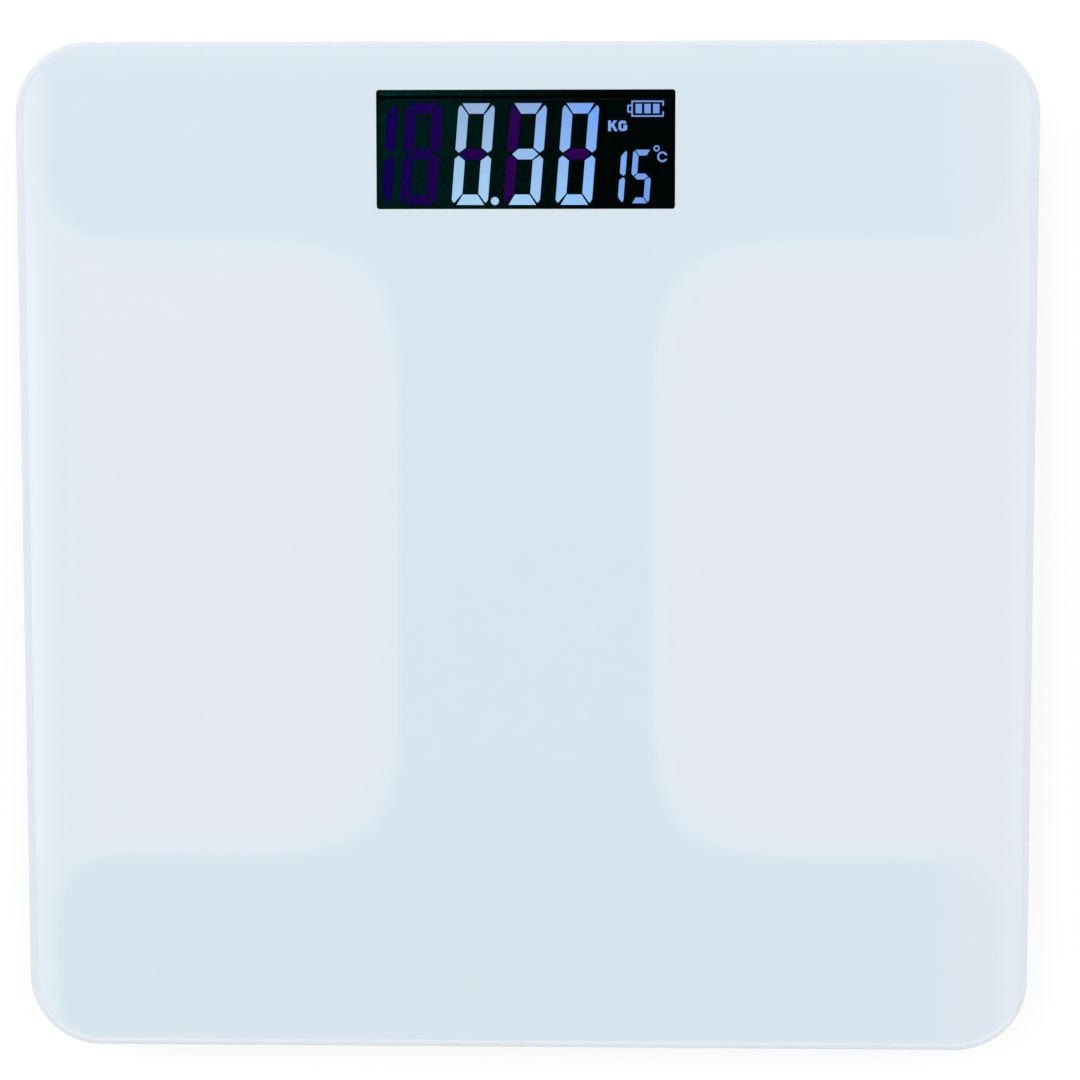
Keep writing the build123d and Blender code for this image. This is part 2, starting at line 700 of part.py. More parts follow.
# Unit marks and the battery symbol
def marks():
    letter_k = on_grid(
        (22.6, 4.95), (23.37, 4.95), (23.37, 5.85), (23.65, 6.2), (24.4, 4.95), (25.25, 4.95),
        (24.15, 6.75), (25.1, 7.85), (24.2, 7.85), (23.37, 6.85), (23.37, 7.85), (22.6, 7.85),
    )
    letter_g = on_grid(
        (27.4, 7.05), (27.0, 7.45), (26.2, 7.45), (25.8, 7.05), (25.8, 5.75), (26.2, 5.35), (27.0, 5.35),
        (27.45, 5.6), (27.45, 6.3), (26.75, 6.3),
    )
    battery_case = on_grid(
        (37.65, 11.8), (37.65, 13.05), (29.15, 13.05),
        (29.15, 9.05), (37.65, 9.05), (37.65, 10.3),
    )
    battery_nub = on_grid((29.15, 11.9), (28.05, 11.9), (28.05, 10.2), (29.15, 10.2))
    degree_at, celsius_at = on_grid((35.9, 0.25), (37.5, -2.05))
    plans = [
        art_plan(letter_k),
        art_line(letter_g, LETTER_STROKE),
        art_line(battery_case, MARK_STROKE) + art_line(battery_nub, MARK_STROKE),
    ]
    for x in (30.1, 32.5, 34.9):
        plans.append(art_plan(on_grid((x, 9.8), (x + 1.75, 9.8), (x + 1.75, 12.35), (x, 12.35))))
    plans.append(Pos(*art_point(*degree_at)) * (Circle(DEGREE_R) - Circle(DEGREE_R - MARK_STROKE)))
    celsius = Circle(CELSIUS_R) - Circle(CELSIUS_R - CELSIUS_STROKE)
    celsius -= Polygon((0, 0), (2 * CELSIUS_R, -CELSIUS_R), (2 * CELSIUS_R, 0.7 * CELSIUS_R))
    plans.append(Pos(*art_point(*celsius_at)) * celsius)
    return [art_solid(plan) for plan in plans]


# Segments: every electrode that shows, lit or not; the display reads 0.30 and 15 degrees
def segments(lit):
    large = digit_bars(DIGIT_W, DIGIT_H, DIGIT_STROKE)
    small = digit_bars(SMALL_W, SMALL_H, SMALL_STROKE)
    shown = [(-47.1, "bc", ""), (-34.8, "abcdefg", ""), (-20.5, "abcdefg", "abcdef")]
    shown += [(-6.2, "abcdefg", "abcdg"), (8.1, "abcdefg", "abcdef")]
    shapes = []
    for x, every, on in shown:
        letters = on if lit else [letter for letter in every if letter not in on]
        shapes += digit(large, letters, x * ART_SQUARE, DIGIT_Y)
    if lit:
        shapes += digit(small, "bc", 21.35 * ART_SQUARE, SMALL_Y)
        shapes += digit(small, "afgcd", 28.4 * ART_SQUARE, SMALL_Y)
        shapes.append(art_solid(Pos(*art_point(-8.5 * ART_SQUARE, -14.05 * ART_SQUARE)) * Circle(POINT_R)))
        shapes += marks()
    return group(*shapes)


# Window gasket: a foam frame between the display and the print
def window_gasket():
    ring = slab(LCD_W, LCD_H, Z_LCD_TOP, Z_PRINT)
    hole = slab(WINDOW_W + 2 * GASKET_SETBACK, WINDOW_H + 2 * GASKET_SETBACK, Z_LCD_TOP - 1, Z_PRINT + 1)
    return Pos(0, DISPLAY_Y, 0) * (ring - hole)


# Backlight: a clear guide over a white reflector, with two lamps at its left end
def light_guide():
    return Pos(0, REAR_Y, 0) * slab(LCD_W - 2 * GUIDE_SIDE, REAR_H - 2 * FRAME_FIT, Z_GUIDE, Z_REAR)


def reflector_sheet():
    return Pos(0, REAR_Y, 0) * slab(LCD_W - 2 * GUIDE_SIDE, REAR_H - 2 * FRAME_FIT, Z_BOARD_TOP, Z_GUIDE)


def backlight_leds():
    x = -LCD_W / 2 + GUIDE_SIDE - FRAME_FIT
    lamps = []
    for y in (REAR_Y - REAR_H / 4, REAR_Y + REAR_H / 4):
        lamps.append(block(x - LED_T, x, y - LED_W / 2, y + LED_W / 2, Z_BOARD_TOP, Z_BOARD_TOP + LED_H))
    return group(*lamps)


# Contact strip: striped rubber that joins the ledge of the front glass to the board
def contact_strip():
    low = REAR_Y + REAR_H / 2 + FRAME_FIT
    high = DISPLAY_Y + LCD_H / 2 - FRAME_FIT
    half = LCD_W / 2 - GUIDE_SIDE
    return block(-half, half, low, high, Z_BOARD_TOP, Z_FRONT)


# Display frame: a wall round the display with four ears for its screws
def display_frame():
    frame = slab(FRAME_W, FRAME_H, Z_BOARD_TOP, Z_LCD_TOP, FRAME_WALL)
    for x in (-EAR_X, EAR_X):
        for y in (-EAR_Y, EAR_Y):
            ear = slab(EAR_SIDE + FRAME_WALL, EAR_SIDE, Z_BOARD_TOP, Z_BOARD_TOP + EAR_T, FRAME_WALL)
            inward = -FRAME_WALL / 2 if x > 0 else FRAME_WALL / 2
            frame += Pos(x + inward, y, 0) * ear
    frame -= slab(LCD_W + 2 * FRAME_FIT, LCD_H + 2 * FRAME_FIT, Z_BOARD_TOP - 1, Z_LCD_TOP + 1)
    for x in (-EAR_X, EAR_X):
        for y in (-EAR_Y, EAR_Y):
            frame -= Pos(x, y, 0) * disc(FRAME_SCREW_R + SCREW_FIT, Z_BOARD_TOP - 1, Z_LCD_TOP + 1)
    return Pos(0, DISPLAY_Y, 0) * frame


# Main board: carries the display frame above and the controller and switch below
def main_board():
    board = slab(BOARD_W, BOARD_H, Z_BOARD, Z_BOARD_TOP, FRAME_WALL)
    for x in (-EAR_X, EAR_X):
        for y in (-EAR_Y, EAR_Y):
            board -= Pos(x, y, 0) * disc(FRAME_SCREW_R + SCREW_FIT, Z_BOARD - 1, Z_BOARD_TOP + 1)
    return Pos(0, DISPLAY_Y, 0) * board


# Display screws: four, down through the ears and the board into the posts
def display_screws():
    top = Z_BOARD_TOP + EAR_T
    length = EAR_T + BOARD_T + FRAME_SCREW_BITE
    one = screw(FRAME_SCREW_HEAD_R, FRAME_SCREW_HEAD_T, FRAME_SCREW_R, length)
    places = [(x, DISPLAY_Y + y) for x in (-EAR_X, EAR_X) for y in (-EAR_Y, EAR_Y)]
    return group(*[Pos(x, y, top) * Rot(180, 0, 0) * one for x, y in places])


# Controller: a bare chip under a round blob of black resin
def controller_blob():
    blob = disc(BLOB_R, Z_BOARD - BLOB_H, Z_BOARD)
    blob = fillet(blob.edges().group_by(Axis.Z)[0], 0.75 * BLOB_H)
    return Pos(BLOB_X, DISPLAY_Y + BLOB_Y, 0) * blob


# Board components: crystal, two capacitors and a row of chip resistors
def board_components():
    crystal = slab(CRYSTAL_L, CRYSTAL_W, Z_BOARD - CRYSTAL_H, Z_BOARD, 0.45 * CRYSTAL_W)
    capacitor = disc(CAPACITOR_R, Z_BOARD - CAPACITOR_H, Z_BOARD)
    capacitor = fillet(capacitor.edges().group_by(Axis.Z)[0], 0.2 * CAPACITOR_R)
    chip = slab(CHIP_L, CHIP_W, Z_BOARD - CHIP_H, Z_BOARD)
    shapes = [Pos(CRYSTAL_X, DISPLAY_Y + COMPONENT_Y, 0) * crystal]
    for n in range(2):
        shapes.append(Pos(CAPACITOR_X + n * CAPACITOR_PITCH, DISPLAY_Y + COMPONENT_Y, 0) * capacitor)
    for n in range(6):
        shapes.append(Pos(CHIP_X + n * CHIP_PITCH, DISPLAY_Y + CHIP_Y, 0) * chip)
    return group(*shapes)


# Unit switch: a press switch below the board, with a bore for its plunger
def unit_switch():
    low = Z_BOARD - SWITCH_H
    body = slab(SWITCH_SIDE, SWITCH_SIDE, low, Z_BOARD, 0.4)
    body -= disc(PLUNGER_R + PLUNGER_FIT, low - 1, low + PLUNGER_BORE)
    return Pos(BUTTON_X, BUTTON_Y, 0) * body


def switch_plunger():
    low = Z_BOARD - SWITCH_H
    high = low + PLUNGER_BORE - BUTTON_TRAVEL - SCREW_FIT
    return Pos(BUTTON_X, BUTTON_Y, 0) * disc(PLUNGER_R, low - PLUNGER_PROUD, high)


# Unit button: a round cap in the base's floor, kept in by a flange, that lifts the plunger
def unit_button():
    top = Z_BOARD - SWITCH_H - PLUNGER_PROUD
    cap = disc(BUTTON_R, Z_BASE - BUTTON_PROUD, Z_FLOOR + FLANGE_LIFT)
    cap = fillet(cap.edges().group_by(Axis.Z)[0], 0.5)
    cap += disc(BUTTON_FLANGE_R, Z_FLOOR + FLANGE_LIFT, Z_FLOOR + FLANGE_LIFT + BUTTON_FLANGE_T)
    cap += disc(BUTTON_STEM_R, Z_FLOOR, top)
    return Pos(BUTTON_X, BUTTON_Y, 0) * cap


# Temperature sensor: a resin bead in a cradle by the vents, with two leads to the board
def thermistor():
    bead = disc(SENSOR_R, Z_FLOOR, Z_FLOOR + SENSOR_H)
    bead = fillet(bead.edges().group_by(Axis.Z)[-1], 0.4)
    return Pos(SENSOR_X, SENSOR_Y, 0) * bead


def thermistor_leads():
    low = Z_FLOOR + SENSOR_H
    mid = (low + Z_BOARD) / 2
    bend = 0.85 * (mid - low)
    leads = []
    for y in (SENSOR_Y - SENSOR_R / 2, SENSOR_Y + SENSOR_R / 2):
        points = [(SENSOR_X, y, low), (SENSOR_X, y, mid), (PAD_X, y, mid), (PAD_X, y, Z_BOARD)]
        leads.append(wire_run(points, [bend, bend], SENSOR_LEAD_D))
    return group(*leads)


# Battery cells: two cells side by side, the left one with its nub to the rear and the right one reversed
def cell_place(sign):
    """Where the middle of the left (-1) or right (1) cell lies, and how it is turned."""
    middle = (BAY_FRONT + BAY_REAR) / 2 - sign * (MINUS_ROOM - PLUS_ROOM) / 2
    return Pos(sign * BATTERY_X, middle, Z_BATTERY) * Rot(90 * sign, 0, 0)


def battery_can():
    """A steel can about the Z axis with its nub up."""
    radius = BATTERY_D / 2 - SLEEVE_T - SHRINK_GAP
    low = -BATTERY_L / 2
    shoulder = BATTERY_L / 2 - NUB_L
    can = disc(radius, low, shoulder)
    ends = can.edges().group_by(Axis.Z)
    can = fillet(ends[0] + ends[-1], 0.5 * SLEEVE_END)
    return can + disc(NUB_R, shoulder, BATTERY_L / 2)


def battery_sleeve():
    """The printed sleeve shrunk on a can."""
    low = -BATTERY_L / 2 + SLEEVE_END
    high = BATTERY_L / 2 - NUB_L - SLEEVE_END
    return disc(BATTERY_D / 2, low, high) - disc(BATTERY_D / 2 - SLEEVE_T, low - 1, high + 1)


# Battery contacts: plates on the bay's end walls, bossed for a plus end and arched for a minus end
def contact_plate(x_low, x_high, wall_y, inward):
    y_low, y_high = sorted((wall_y, wall_y + inward * CONTACT_T))
    return block(x_low, x_high, y_low, y_high, Z_BATTERY - CONTACT_H / 2, Z_BATTERY + CONTACT_H / 2)


def plus_boss(x, wall_y, inward):
    return Pos(x, wall_y, Z_BATTERY) * Rot(-90 * inward, 0, 0) * disc(PLUS_BOSS_R, 0, PLUS_ROOM)


def minus_leaf(x, wall_y, inward):
    low = CONTACT_T / 2
    arch = [
        (-LEAF_FOOT, low), (-LEAF_TOP, MINUS_ROOM), (LEAF_TOP, MINUS_ROOM), (LEAF_FOOT, low),
        (LEAF_FOOT - 1.2 * CONTACT_T, low), (LEAF_TOP - 0.5 * CONTACT_T, MINUS_ROOM - CONTACT_T),
        (-LEAF_TOP + 0.5 * CONTACT_T, MINUS_ROOM - CONTACT_T), (-LEAF_FOOT + 1.2 * CONTACT_T, low),
    ]
    plan = Polygon(*[(x + u, wall_y + inward * w) for u, w in arch])
    return Pos(0, 0, Z_BATTERY - LEAF_H / 2) * extrude(plan, LEAF_H, dir=(0, 0, 1))


def contact_tail(x):
    return block(
        x - TAIL_W / 2, x + TAIL_W / 2, BAY_REAR - CONTACT_T, BAY_REAR + BAY_WALL + TAIL_REACH,
        Z_TAIL, Z_TAIL + CONTACT_T,
    )


def contact_plus():
    plate = contact_plate(-BATTERY_X - CONTACT_W / 2, -BATTERY_X + CONTACT_W / 2, BAY_REAR, -1)
    return plate + plus_boss(-BATTERY_X, BAY_REAR, -1) + contact_tail(-BATTERY_X)


def contact_minus():
    plate = contact_plate(BATTERY_X - CONTACT_W / 2, BATTERY_X + CONTACT_W / 2, BAY_REAR, -1)
    return plate + minus_leaf(BATTERY_X, BAY_REAR, -1) + contact_tail(BATTERY_X)


def contact_bridge():
    half = BATTERY_X + CONTACT_W / 2
    plate = contact_plate(-half, half, BAY_FRONT, 1)
    return plate + minus_leaf(-BATTERY_X, BAY_FRONT, 1) + plus_boss(BATTERY_X, BAY_FRONT, 1)


# Battery wires: from the contact tails to the board
def battery_wire(x):
    z = Z_TAIL + CONTACT_T / 2
    start = BAY_REAR + BAY_WALL + TAIL_REACH
    bend = 0.8 * (Z_BOARD - z)
    return wire_run([(x, start, z), (x, PAD_Y, z), (x, PAD_Y, Z_BOARD)], [bend], WIRE_D)


# Battery door: a stepped plate whose side tongues run in the rails, with grip ridges near its front
def battery_door():
    half = DOOR_W / 2
    step = Z_DOOR_TOP - DOOR_TONGUE_T
    door = block(-half, half, DOOR_FRONT, DOOR_REAR, step, Z_DOOR_TOP)
    narrow = half - DOOR_TONGUE_W
    door += block(-narrow, narrow, DOOR_FRONT, DOOR_REAR, Z_DOOR, step)
    for n in range(5):
        y = DOOR_FRONT + 3 * GRIP_PITCH + n * GRIP_PITCH
        door += block(-GRIP_W / 2, GRIP_W / 2, y, y + GRIP_T, Z_DOOR - GRIP_H, Z_DOOR)
    return door


parts = {
    "glass_platform": glass_platform(),
    "back_print": back_print(),
    "glue_bead": glue_bead(),
    "base_shell": base_shell(),
    "lcd_front_glass": lcd_front_glass(),
    "lcd_rear_glass": lcd_rear_glass(),
    "lcd_seal": lcd_seal(),
    "lit_segments": segments(True),
    "unlit_segments": segments(False),
    "window_gasket": window_gasket(),
    "light_guide": light_guide(),
    "reflector_sheet": reflector_sheet(),
    "backlight_leds": backlight_leds(),
    "contact_strip": contact_strip(),
    "display_frame": display_frame(),
    "display_screws": display_screws(),
    "main_board": main_board(),
    "controller_blob": controller_blob(),
    "board_components": board_components(),
    "unit_switch": unit_switch(),
    "switch_plunger": switch_plunger(),
    "unit_button": unit_button(),
    "thermistor": thermistor(),
    "thermistor_leads": thermistor_leads(),
    "battery_cells": group(*[cell_place(sign) * battery_can() for sign in (-1, 1)]),
    "battery_sleeves": group(*[cell_place(sign) * battery_sleeve() for sign in (-1, 1)]),
    "contact_plus": contact_plus(),
    "contact_minus": contact_minus(),
    "contact_bridge": contact_bridge(),
    "battery_wire_red": battery_wire(-BATTERY_X),
    "battery_wire_black": battery_wire(BATTERY_X),
    "battery_door": battery_door(),
    "cell_screws": group(*[at_foot(side, end, cell_screw_pair()) for side, end in FEET.values()]),
    "strain_gauges": group(*[at_foot(side, end, strain_gauge()) for side, end in FEET.values()]),
}
for lane, colour in ((-1, "black"), (0, "white"), (1, "red")):
    parts[f"cell_wires_{colour}"] = group(*[cell_wire(side, end, lane) for side, end in FEET.values()])
for name, (side, end) in FEET.items():
    parts[f"load_cell_{name}"] = at_foot(side, end, load_cell())
    parts[f"cell_carrier_{name}"] = at_foot(side, end, cell_carrier())
    parts[f"foot_cap_{name}"] = at_foot(side, end, foot_cap())
    parts[f"foot_pad_{name}"] = at_foot(side, end, foot_pad())
    parts[f"foot_screw_{name}"] = at_foot(side, end, foot_screw())

os.makedirs("parts", exist_ok=True)
for name, shape in parts.items():
    export_step(shape, f"parts/{name}.step")
print(f"{len(parts)} nodes, glass top at {Z_TOP:.1f}, display at y = {DISPLAY_Y:.2f}, feet at {POD:.2f}")
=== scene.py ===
import bmesh
import bpy
from math import cos, pi, radians, sin
from mathutils import Matrix, Vector


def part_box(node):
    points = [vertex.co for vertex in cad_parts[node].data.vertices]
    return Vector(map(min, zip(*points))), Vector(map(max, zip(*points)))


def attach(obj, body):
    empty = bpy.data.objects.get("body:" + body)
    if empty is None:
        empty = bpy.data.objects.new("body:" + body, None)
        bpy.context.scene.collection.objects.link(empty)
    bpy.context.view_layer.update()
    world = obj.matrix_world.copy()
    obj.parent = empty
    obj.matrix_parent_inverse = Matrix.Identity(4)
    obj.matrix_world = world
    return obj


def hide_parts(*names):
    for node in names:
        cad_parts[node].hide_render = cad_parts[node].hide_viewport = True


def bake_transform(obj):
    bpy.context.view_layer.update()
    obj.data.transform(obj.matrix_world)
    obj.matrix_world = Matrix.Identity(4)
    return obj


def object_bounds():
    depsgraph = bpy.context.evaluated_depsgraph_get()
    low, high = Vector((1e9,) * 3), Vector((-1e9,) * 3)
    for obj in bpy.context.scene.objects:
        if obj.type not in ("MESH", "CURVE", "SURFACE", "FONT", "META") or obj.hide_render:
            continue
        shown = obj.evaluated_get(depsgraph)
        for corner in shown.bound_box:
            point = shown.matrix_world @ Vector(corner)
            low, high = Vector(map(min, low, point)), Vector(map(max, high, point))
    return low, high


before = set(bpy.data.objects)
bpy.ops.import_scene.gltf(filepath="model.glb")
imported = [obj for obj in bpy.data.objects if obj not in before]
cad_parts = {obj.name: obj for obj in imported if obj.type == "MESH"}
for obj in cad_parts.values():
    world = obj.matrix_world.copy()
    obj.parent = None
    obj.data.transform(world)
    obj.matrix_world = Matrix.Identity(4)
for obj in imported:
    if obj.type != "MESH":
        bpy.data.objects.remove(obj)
cad_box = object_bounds()


# Base shell: one I-shaped tray of white plastic, injection moulded in a tool with a fine eroded grain.
# Its floor carries the board's posts, the wire guides and the battery bay, moulded in one piece with it.
MM = 0.001
FEET = ("rear_left", "rear_right", "front_left", "front_right")


def tone(red, green, blue):
    """An 8-bit display colour as the linear colour that a shader takes."""
    levels = [level / 255 for level in (red, green, blue)]
    return [*[v / 12.92 if v <= 0.04045 else ((v + 0.055) / 1.055) ** 2.4 for v in levels], 1.0]


def step(tree, kind, sockets=None, **settings):
    """One shader node with its settings. Each socket gets a plain value, or a link to another socket."""
    made = tree.nodes.new("ShaderNode" + kind)
    for name, value in settings.items():
        setattr(made, name, value)
    for name, value in (sockets or {}).items():
        if isinstance(value, bpy.types.NodeSocket):
            tree.links.new(value, made.inputs[name])
        else:
            made.inputs[name].default_value = value
    return made


def sums(tree, operation, *values):
    """The result of one sum on numbers or sockets."""
    return step(tree, "Math", dict(enumerate(values)), operation=operation).outputs[0]


def spread(tree, share, base, span):
    """A value that leaves its base by a share of a span."""
    return sums(tree, "MULTIPLY_ADD", share, span, base)


def mixed(tree, factor, first, second):
    """A colour between two colours."""
    return step(tree, "Mix", {0: factor, 6: first, 7: second}, data_type="RGBA").outputs[2]


def place_on_piece(tree):
    """Where a point lies on its piece, in metres."""
    return step(tree, "TexCoord").outputs["Object"]


def noise(tree, spots, detail=2.0, where=None):
    """Cloudy noise between 0 and 1, with a number of spots to the metre."""
    sockets = {"Vector": where or place_on_piece(tree), "Scale": spots, "Detail": detail}
    return step(tree, "TexNoise", sockets).outputs["Fac"]


def effect(name, inputs, outputs):
    """An empty node group with named sockets, and its inputs by name."""
    tree = bpy.data.node_groups.new(name, "ShaderNodeTree")
    for socket, kind in inputs.items():
        tree.interface.new_socket(socket, in_out="INPUT", socket_type="NodeSocket" + kind)
    for socket, kind in outputs.items():
        tree.interface.new_socket(socket, in_out="OUTPUT", socket_type="NodeSocket" + kind)
    return tree, tree.nodes.new("NodeGroupInput").outputs


def close_effect(tree, results):
    """Joins a node group's results to its outputs."""
    end = tree.nodes.new("NodeGroupOutput")
    for name, socket in results.items():
        tree.links.new(socket, end.inputs[name])
    return tree


def skin_effect():
    """A moulded or cut skin: a slow drift of colour, uneven gloss and a fine grain."""
    tree, given = effect(
        "fine_skin",
        {"Colour": "Color", "Drift Colour": "Color", "Gloss": "Float", "Grain": "Float", "Depth": "Float"},
        {"Colour": "Color", "Roughness": "Float", "Normal": "Vector"},
    )
    drift = noise(tree, spots=16.0, detail=4.0)
    cloud = sums(tree, "SUBTRACT", noise(tree, spots=130.0, detail=3.0), 0.5)
    grain = noise(tree, given["Grain"], detail=3.0)
    bump = step(tree, "Bump", {"Strength": 1.0, "Distance": given["Depth"], "Height": grain})
    return close_effect(tree, {
        "Colour": mixed(tree, drift, given["Colour"], given["Drift Colour"]),
        "Roughness": spread(tree, cloud, given["Gloss"], span=0.22),
        "Normal": bump.outputs["Normal"],
    })


fine_skin = skin_effect()


def finish(name):
    """A new material with a principled shader, its node tree and that shader."""
    material = bpy.data.materials.new(name)
    material.use_nodes = True
    tree = material.node_tree
    tree.nodes.clear()
    shader = step(tree, "BsdfPrincipled")
    step(tree, "OutputMaterial", {"Surface": shader.outputs["BSDF"]})
    return material, tree, shader


def feed(tree, shader, **sources):
    """Joins sockets to a shader's inputs, whose names are given with underscores."""
    for name, source in sources.items():
        tree.links.new(source, shader.inputs[name.replace("_", " ")])


def skinned(name, colour, drift, gloss, grain_mm, depth_mm):
    """A material with the fine skin on it."""
    material, tree, shader = finish(name)
    skin = step(tree, "Group", {
        "Colour": colour, "Drift Colour": drift, "Gloss": gloss,
        "Grain": 1 / (grain_mm * MM), "Depth": depth_mm * MM,
    }, node_tree=fine_skin).outputs
    feed(tree, shader, Base_Color=skin["Colour"], Roughness=skin["Roughness"], Normal=skin["Normal"])
    return material


def dress(material, *names):
    """Gives CAD nodes their finish."""
    for name in names:
        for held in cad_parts[name].material_slots:
            held.material = material


white_moulding = skinned(
    "white_moulding", tone(240, 241, 242), tone(233, 235, 238), gloss=0.46, grain_mm=0.35, depth_mm=0.006)
dress(white_moulding, "base_shell", "battery_door", *[f"cell_carrier_{foot}" for foot in FEET])


# Feet: a dark rubber pad, moulded with studs in its tread, pressed into a grey plastic cap.
# A screw through the cap's stem holds each foot to the tongue of its load cell.
PAD_R = 15.0
PAD_TOP = 2.2
PAD_CHAMFER = 0.6
PAD_GROOVE = (9.0, 10.5)
GROOVE_DEPTH = 0.55
TREAD_DEPTH = 0.55
STUD_R = 0.95
STUD_TIP_R = 0.75
STUD_SIDES = 14
STUD_RINGS = ((3.0, 6), (6.6, 14), (12.5, 27))
PAD_STEPS = 96


def turned_mesh(name, profile, steps):
    """A closed mesh turned about the Z axis from radius and height pairs, whose ends lie on the axis."""
    shape = bmesh.new()
    rings = []
    for radius, height in profile:
        turns = [2 * pi * n / steps for n in range(steps)] if radius > 0 else [0.0]
        rings.append([shape.verts.new((radius * cos(a), radius * sin(a), height)) for a in turns])
    for low, high in zip(rings, rings[1:]):
        for n in range(steps):
            after = (n + 1) % steps
            corners = [low[n % len(low)], low[after % len(low)]]
            corners += [high[after % len(high)], high[n % len(high)]]
            shape.faces.new(list(dict.fromkeys(corners)))
    bmesh.ops.recalc_face_normals(shape, faces=shape.faces)
    mesh = bpy.data.meshes.new(name)
    shape.to_mesh(mesh)
    shape.free()
    return mesh


def softened(mesh, crease_degrees):
    """Smooth shading, with edges sharper than an angle kept crisp."""
    mesh.shade_smooth()
    mesh.set_sharp_from_angle(angle=radians(crease_degrees))
    return mesh


def shown(name, mesh):
    """A new object in the scene for a finished mesh."""
    made = bpy.data.objects.new(name, mesh)
    bpy.context.scene.collection.objects.link(made)
    return made


def tread_nodes(material):
    """Geometry nodes that set rings of tapered studs below a pad."""
    tree = bpy.data.node_groups.new("pad_tread", "GeometryNodeTree")
    tree.interface.new_socket("Pad", in_out="INPUT", socket_type="NodeSocketGeometry")
    for name in ("Stud Root", "Stud Tip", "Stud Height"):
        tree.interface.new_socket(name, in_out="INPUT", socket_type="NodeSocketFloat")
    for n in range(len(STUD_RINGS)):
        tree.interface.new_socket(f"Ring {n}", in_out="INPUT", socket_type="NodeSocketFloat")
        tree.interface.new_socket(f"Count {n}", in_out="INPUT", socket_type="NodeSocketInt")
    tree.interface.new_socket("Pad", in_out="OUTPUT", socket_type="NodeSocketGeometry")
    add, join = tree.nodes.new, tree.links.new
    given = add("NodeGroupInput").outputs
    stud = add("GeometryNodeMeshCone")
    stud.inputs["Vertices"].default_value = STUD_SIDES
    join(given["Stud Tip"], stud.inputs["Radius Bottom"])
    join(given["Stud Root"], stud.inputs["Radius Top"])
    join(given["Stud Height"], stud.inputs["Depth"])
    together = add("GeometryNodeJoinGeometry")
    for n in range(len(STUD_RINGS)):
        ring = add("GeometryNodeMeshCircle")
        join(given[f"Ring {n}"], ring.inputs["Radius"])
        join(given[f"Count {n}"], ring.inputs["Vertices"])
        stand = add("GeometryNodeInstanceOnPoints")
        join(ring.outputs["Mesh"], stand.inputs["Points"])
        join(stud.outputs["Mesh"], stand.inputs["Instance"])
        join(stand.outputs["Instances"], together.inputs["Geometry"])
    join(given["Pad"], together.inputs["Geometry"])
    real = add("GeometryNodeRealizeInstances")
    join(together.outputs["Geometry"], real.inputs["Geometry"])
    painted = add("GeometryNodeSetMaterial")
    painted.inputs["Material"].default_value = material
    join(real.outputs["Geometry"], painted.inputs["Geometry"])
    join(painted.outputs["Geometry"], add("NodeGroupOutput").inputs["Pad"])
    return tree


def studded_pad(material):
    """The mesh of one pad about the Z axis, its studs standing on the floor."""
    inner, outer = [r * MM for r in PAD_GROOVE]
    edge, top, face = PAD_R * MM, PAD_TOP * MM, TREAD_DEPTH * MM
    groove = face + GROOVE_DEPTH * MM
    chamfer = PAD_CHAMFER * MM
    profile = [
        (0, face), (inner, face), (inner, groove), (outer, groove), (outer, face),
        (edge - chamfer, face), (edge, face + chamfer), (edge, top), (0, top),
    ]
    blank = shown("pad_blank", turned_mesh("pad_blank", profile, PAD_STEPS))
    tree = tread_nodes(material)
    values = {"Stud Root": STUD_R * MM, "Stud Tip": STUD_TIP_R * MM, "Stud Height": face}
    for n, (radius, count) in enumerate(STUD_RINGS):
        values.update({f"Ring {n}": radius * MM, f"Count {n}": count})
    nodes = blank.modifiers.new("tread", "NODES")
    nodes.node_group = tree
    for socket in tree.interface.items_tree:
        if socket.in_out == "INPUT" and socket.name in values:
            nodes[socket.identifier] = values[socket.name]
    depsgraph = bpy.context.evaluated_depsgraph_get()
    mesh = bpy.data.meshes.new_from_object(blank.evaluated_get(depsgraph))
    bpy.data.objects.remove(blank)
    return softened(mesh, crease_degrees=35)


foot_rubber = skinned(
    "foot_rubber", tone(58, 59, 61), tone(47, 48, 50), gloss=0.72, grain_mm=0.5, depth_mm=0.012)
pad_mesh = studded_pad(foot_rubber)
for foot in FEET:
    low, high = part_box(f"foot_pad_{foot}")
    mesh = pad_mesh.copy()
    mesh.transform(Matrix.Translation(((low.x + high.x) / 2, (low.y + high.y) / 2, low.z)))
    pad = shown(f"tread_pad_{foot}", mesh)
    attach(pad, f"foot_{foot}")
    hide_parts(f"foot_pad_{foot}")

grey_moulding = skinned(
    "grey_moulding", tone(176, 179, 183), tone(166, 170, 175), gloss=0.5, grain_mm=0.3, depth_mm=0.005)
dress(grey_moulding, *[f"foot_cap_{foot}" for foot in FEET])
STREAK_DEPTH = 0.004


def plating_effect():
    """Rolled or plated metal: fine streaks along one way, with patches of duller plating."""
    tree, given = effect(
        "plated_metal",
        {"Colour": "Color", "Dull Colour": "Color", "Gloss": "Float", "Streaks": "Vector"},
        {"Colour": "Color", "Roughness": "Float", "Normal": "Vector"},
    )
    pulled = {0: place_on_piece(tree), 1: given["Streaks"]}
    stretched = step(tree, "VectorMath", pulled, operation="MULTIPLY").outputs[0]
    streak = noise(tree, spots=1.0, detail=3.0, where=stretched)
    patch = noise(tree, spots=240.0, detail=3.0)
    bump = step(tree, "Bump", {"Strength": 0.6, "Distance": STREAK_DEPTH * MM, "Height": streak})
    return close_effect(tree, {
        "Colour": mixed(tree, patch, given["Colour"], given["Dull Colour"]),
        "Roughness": spread(tree, sums(tree, "SUBTRACT", streak, 0.5), given["Gloss"], span=0.25),
        "Normal": bump.outputs["Normal"],
    })


plated_metal = plating_effect()


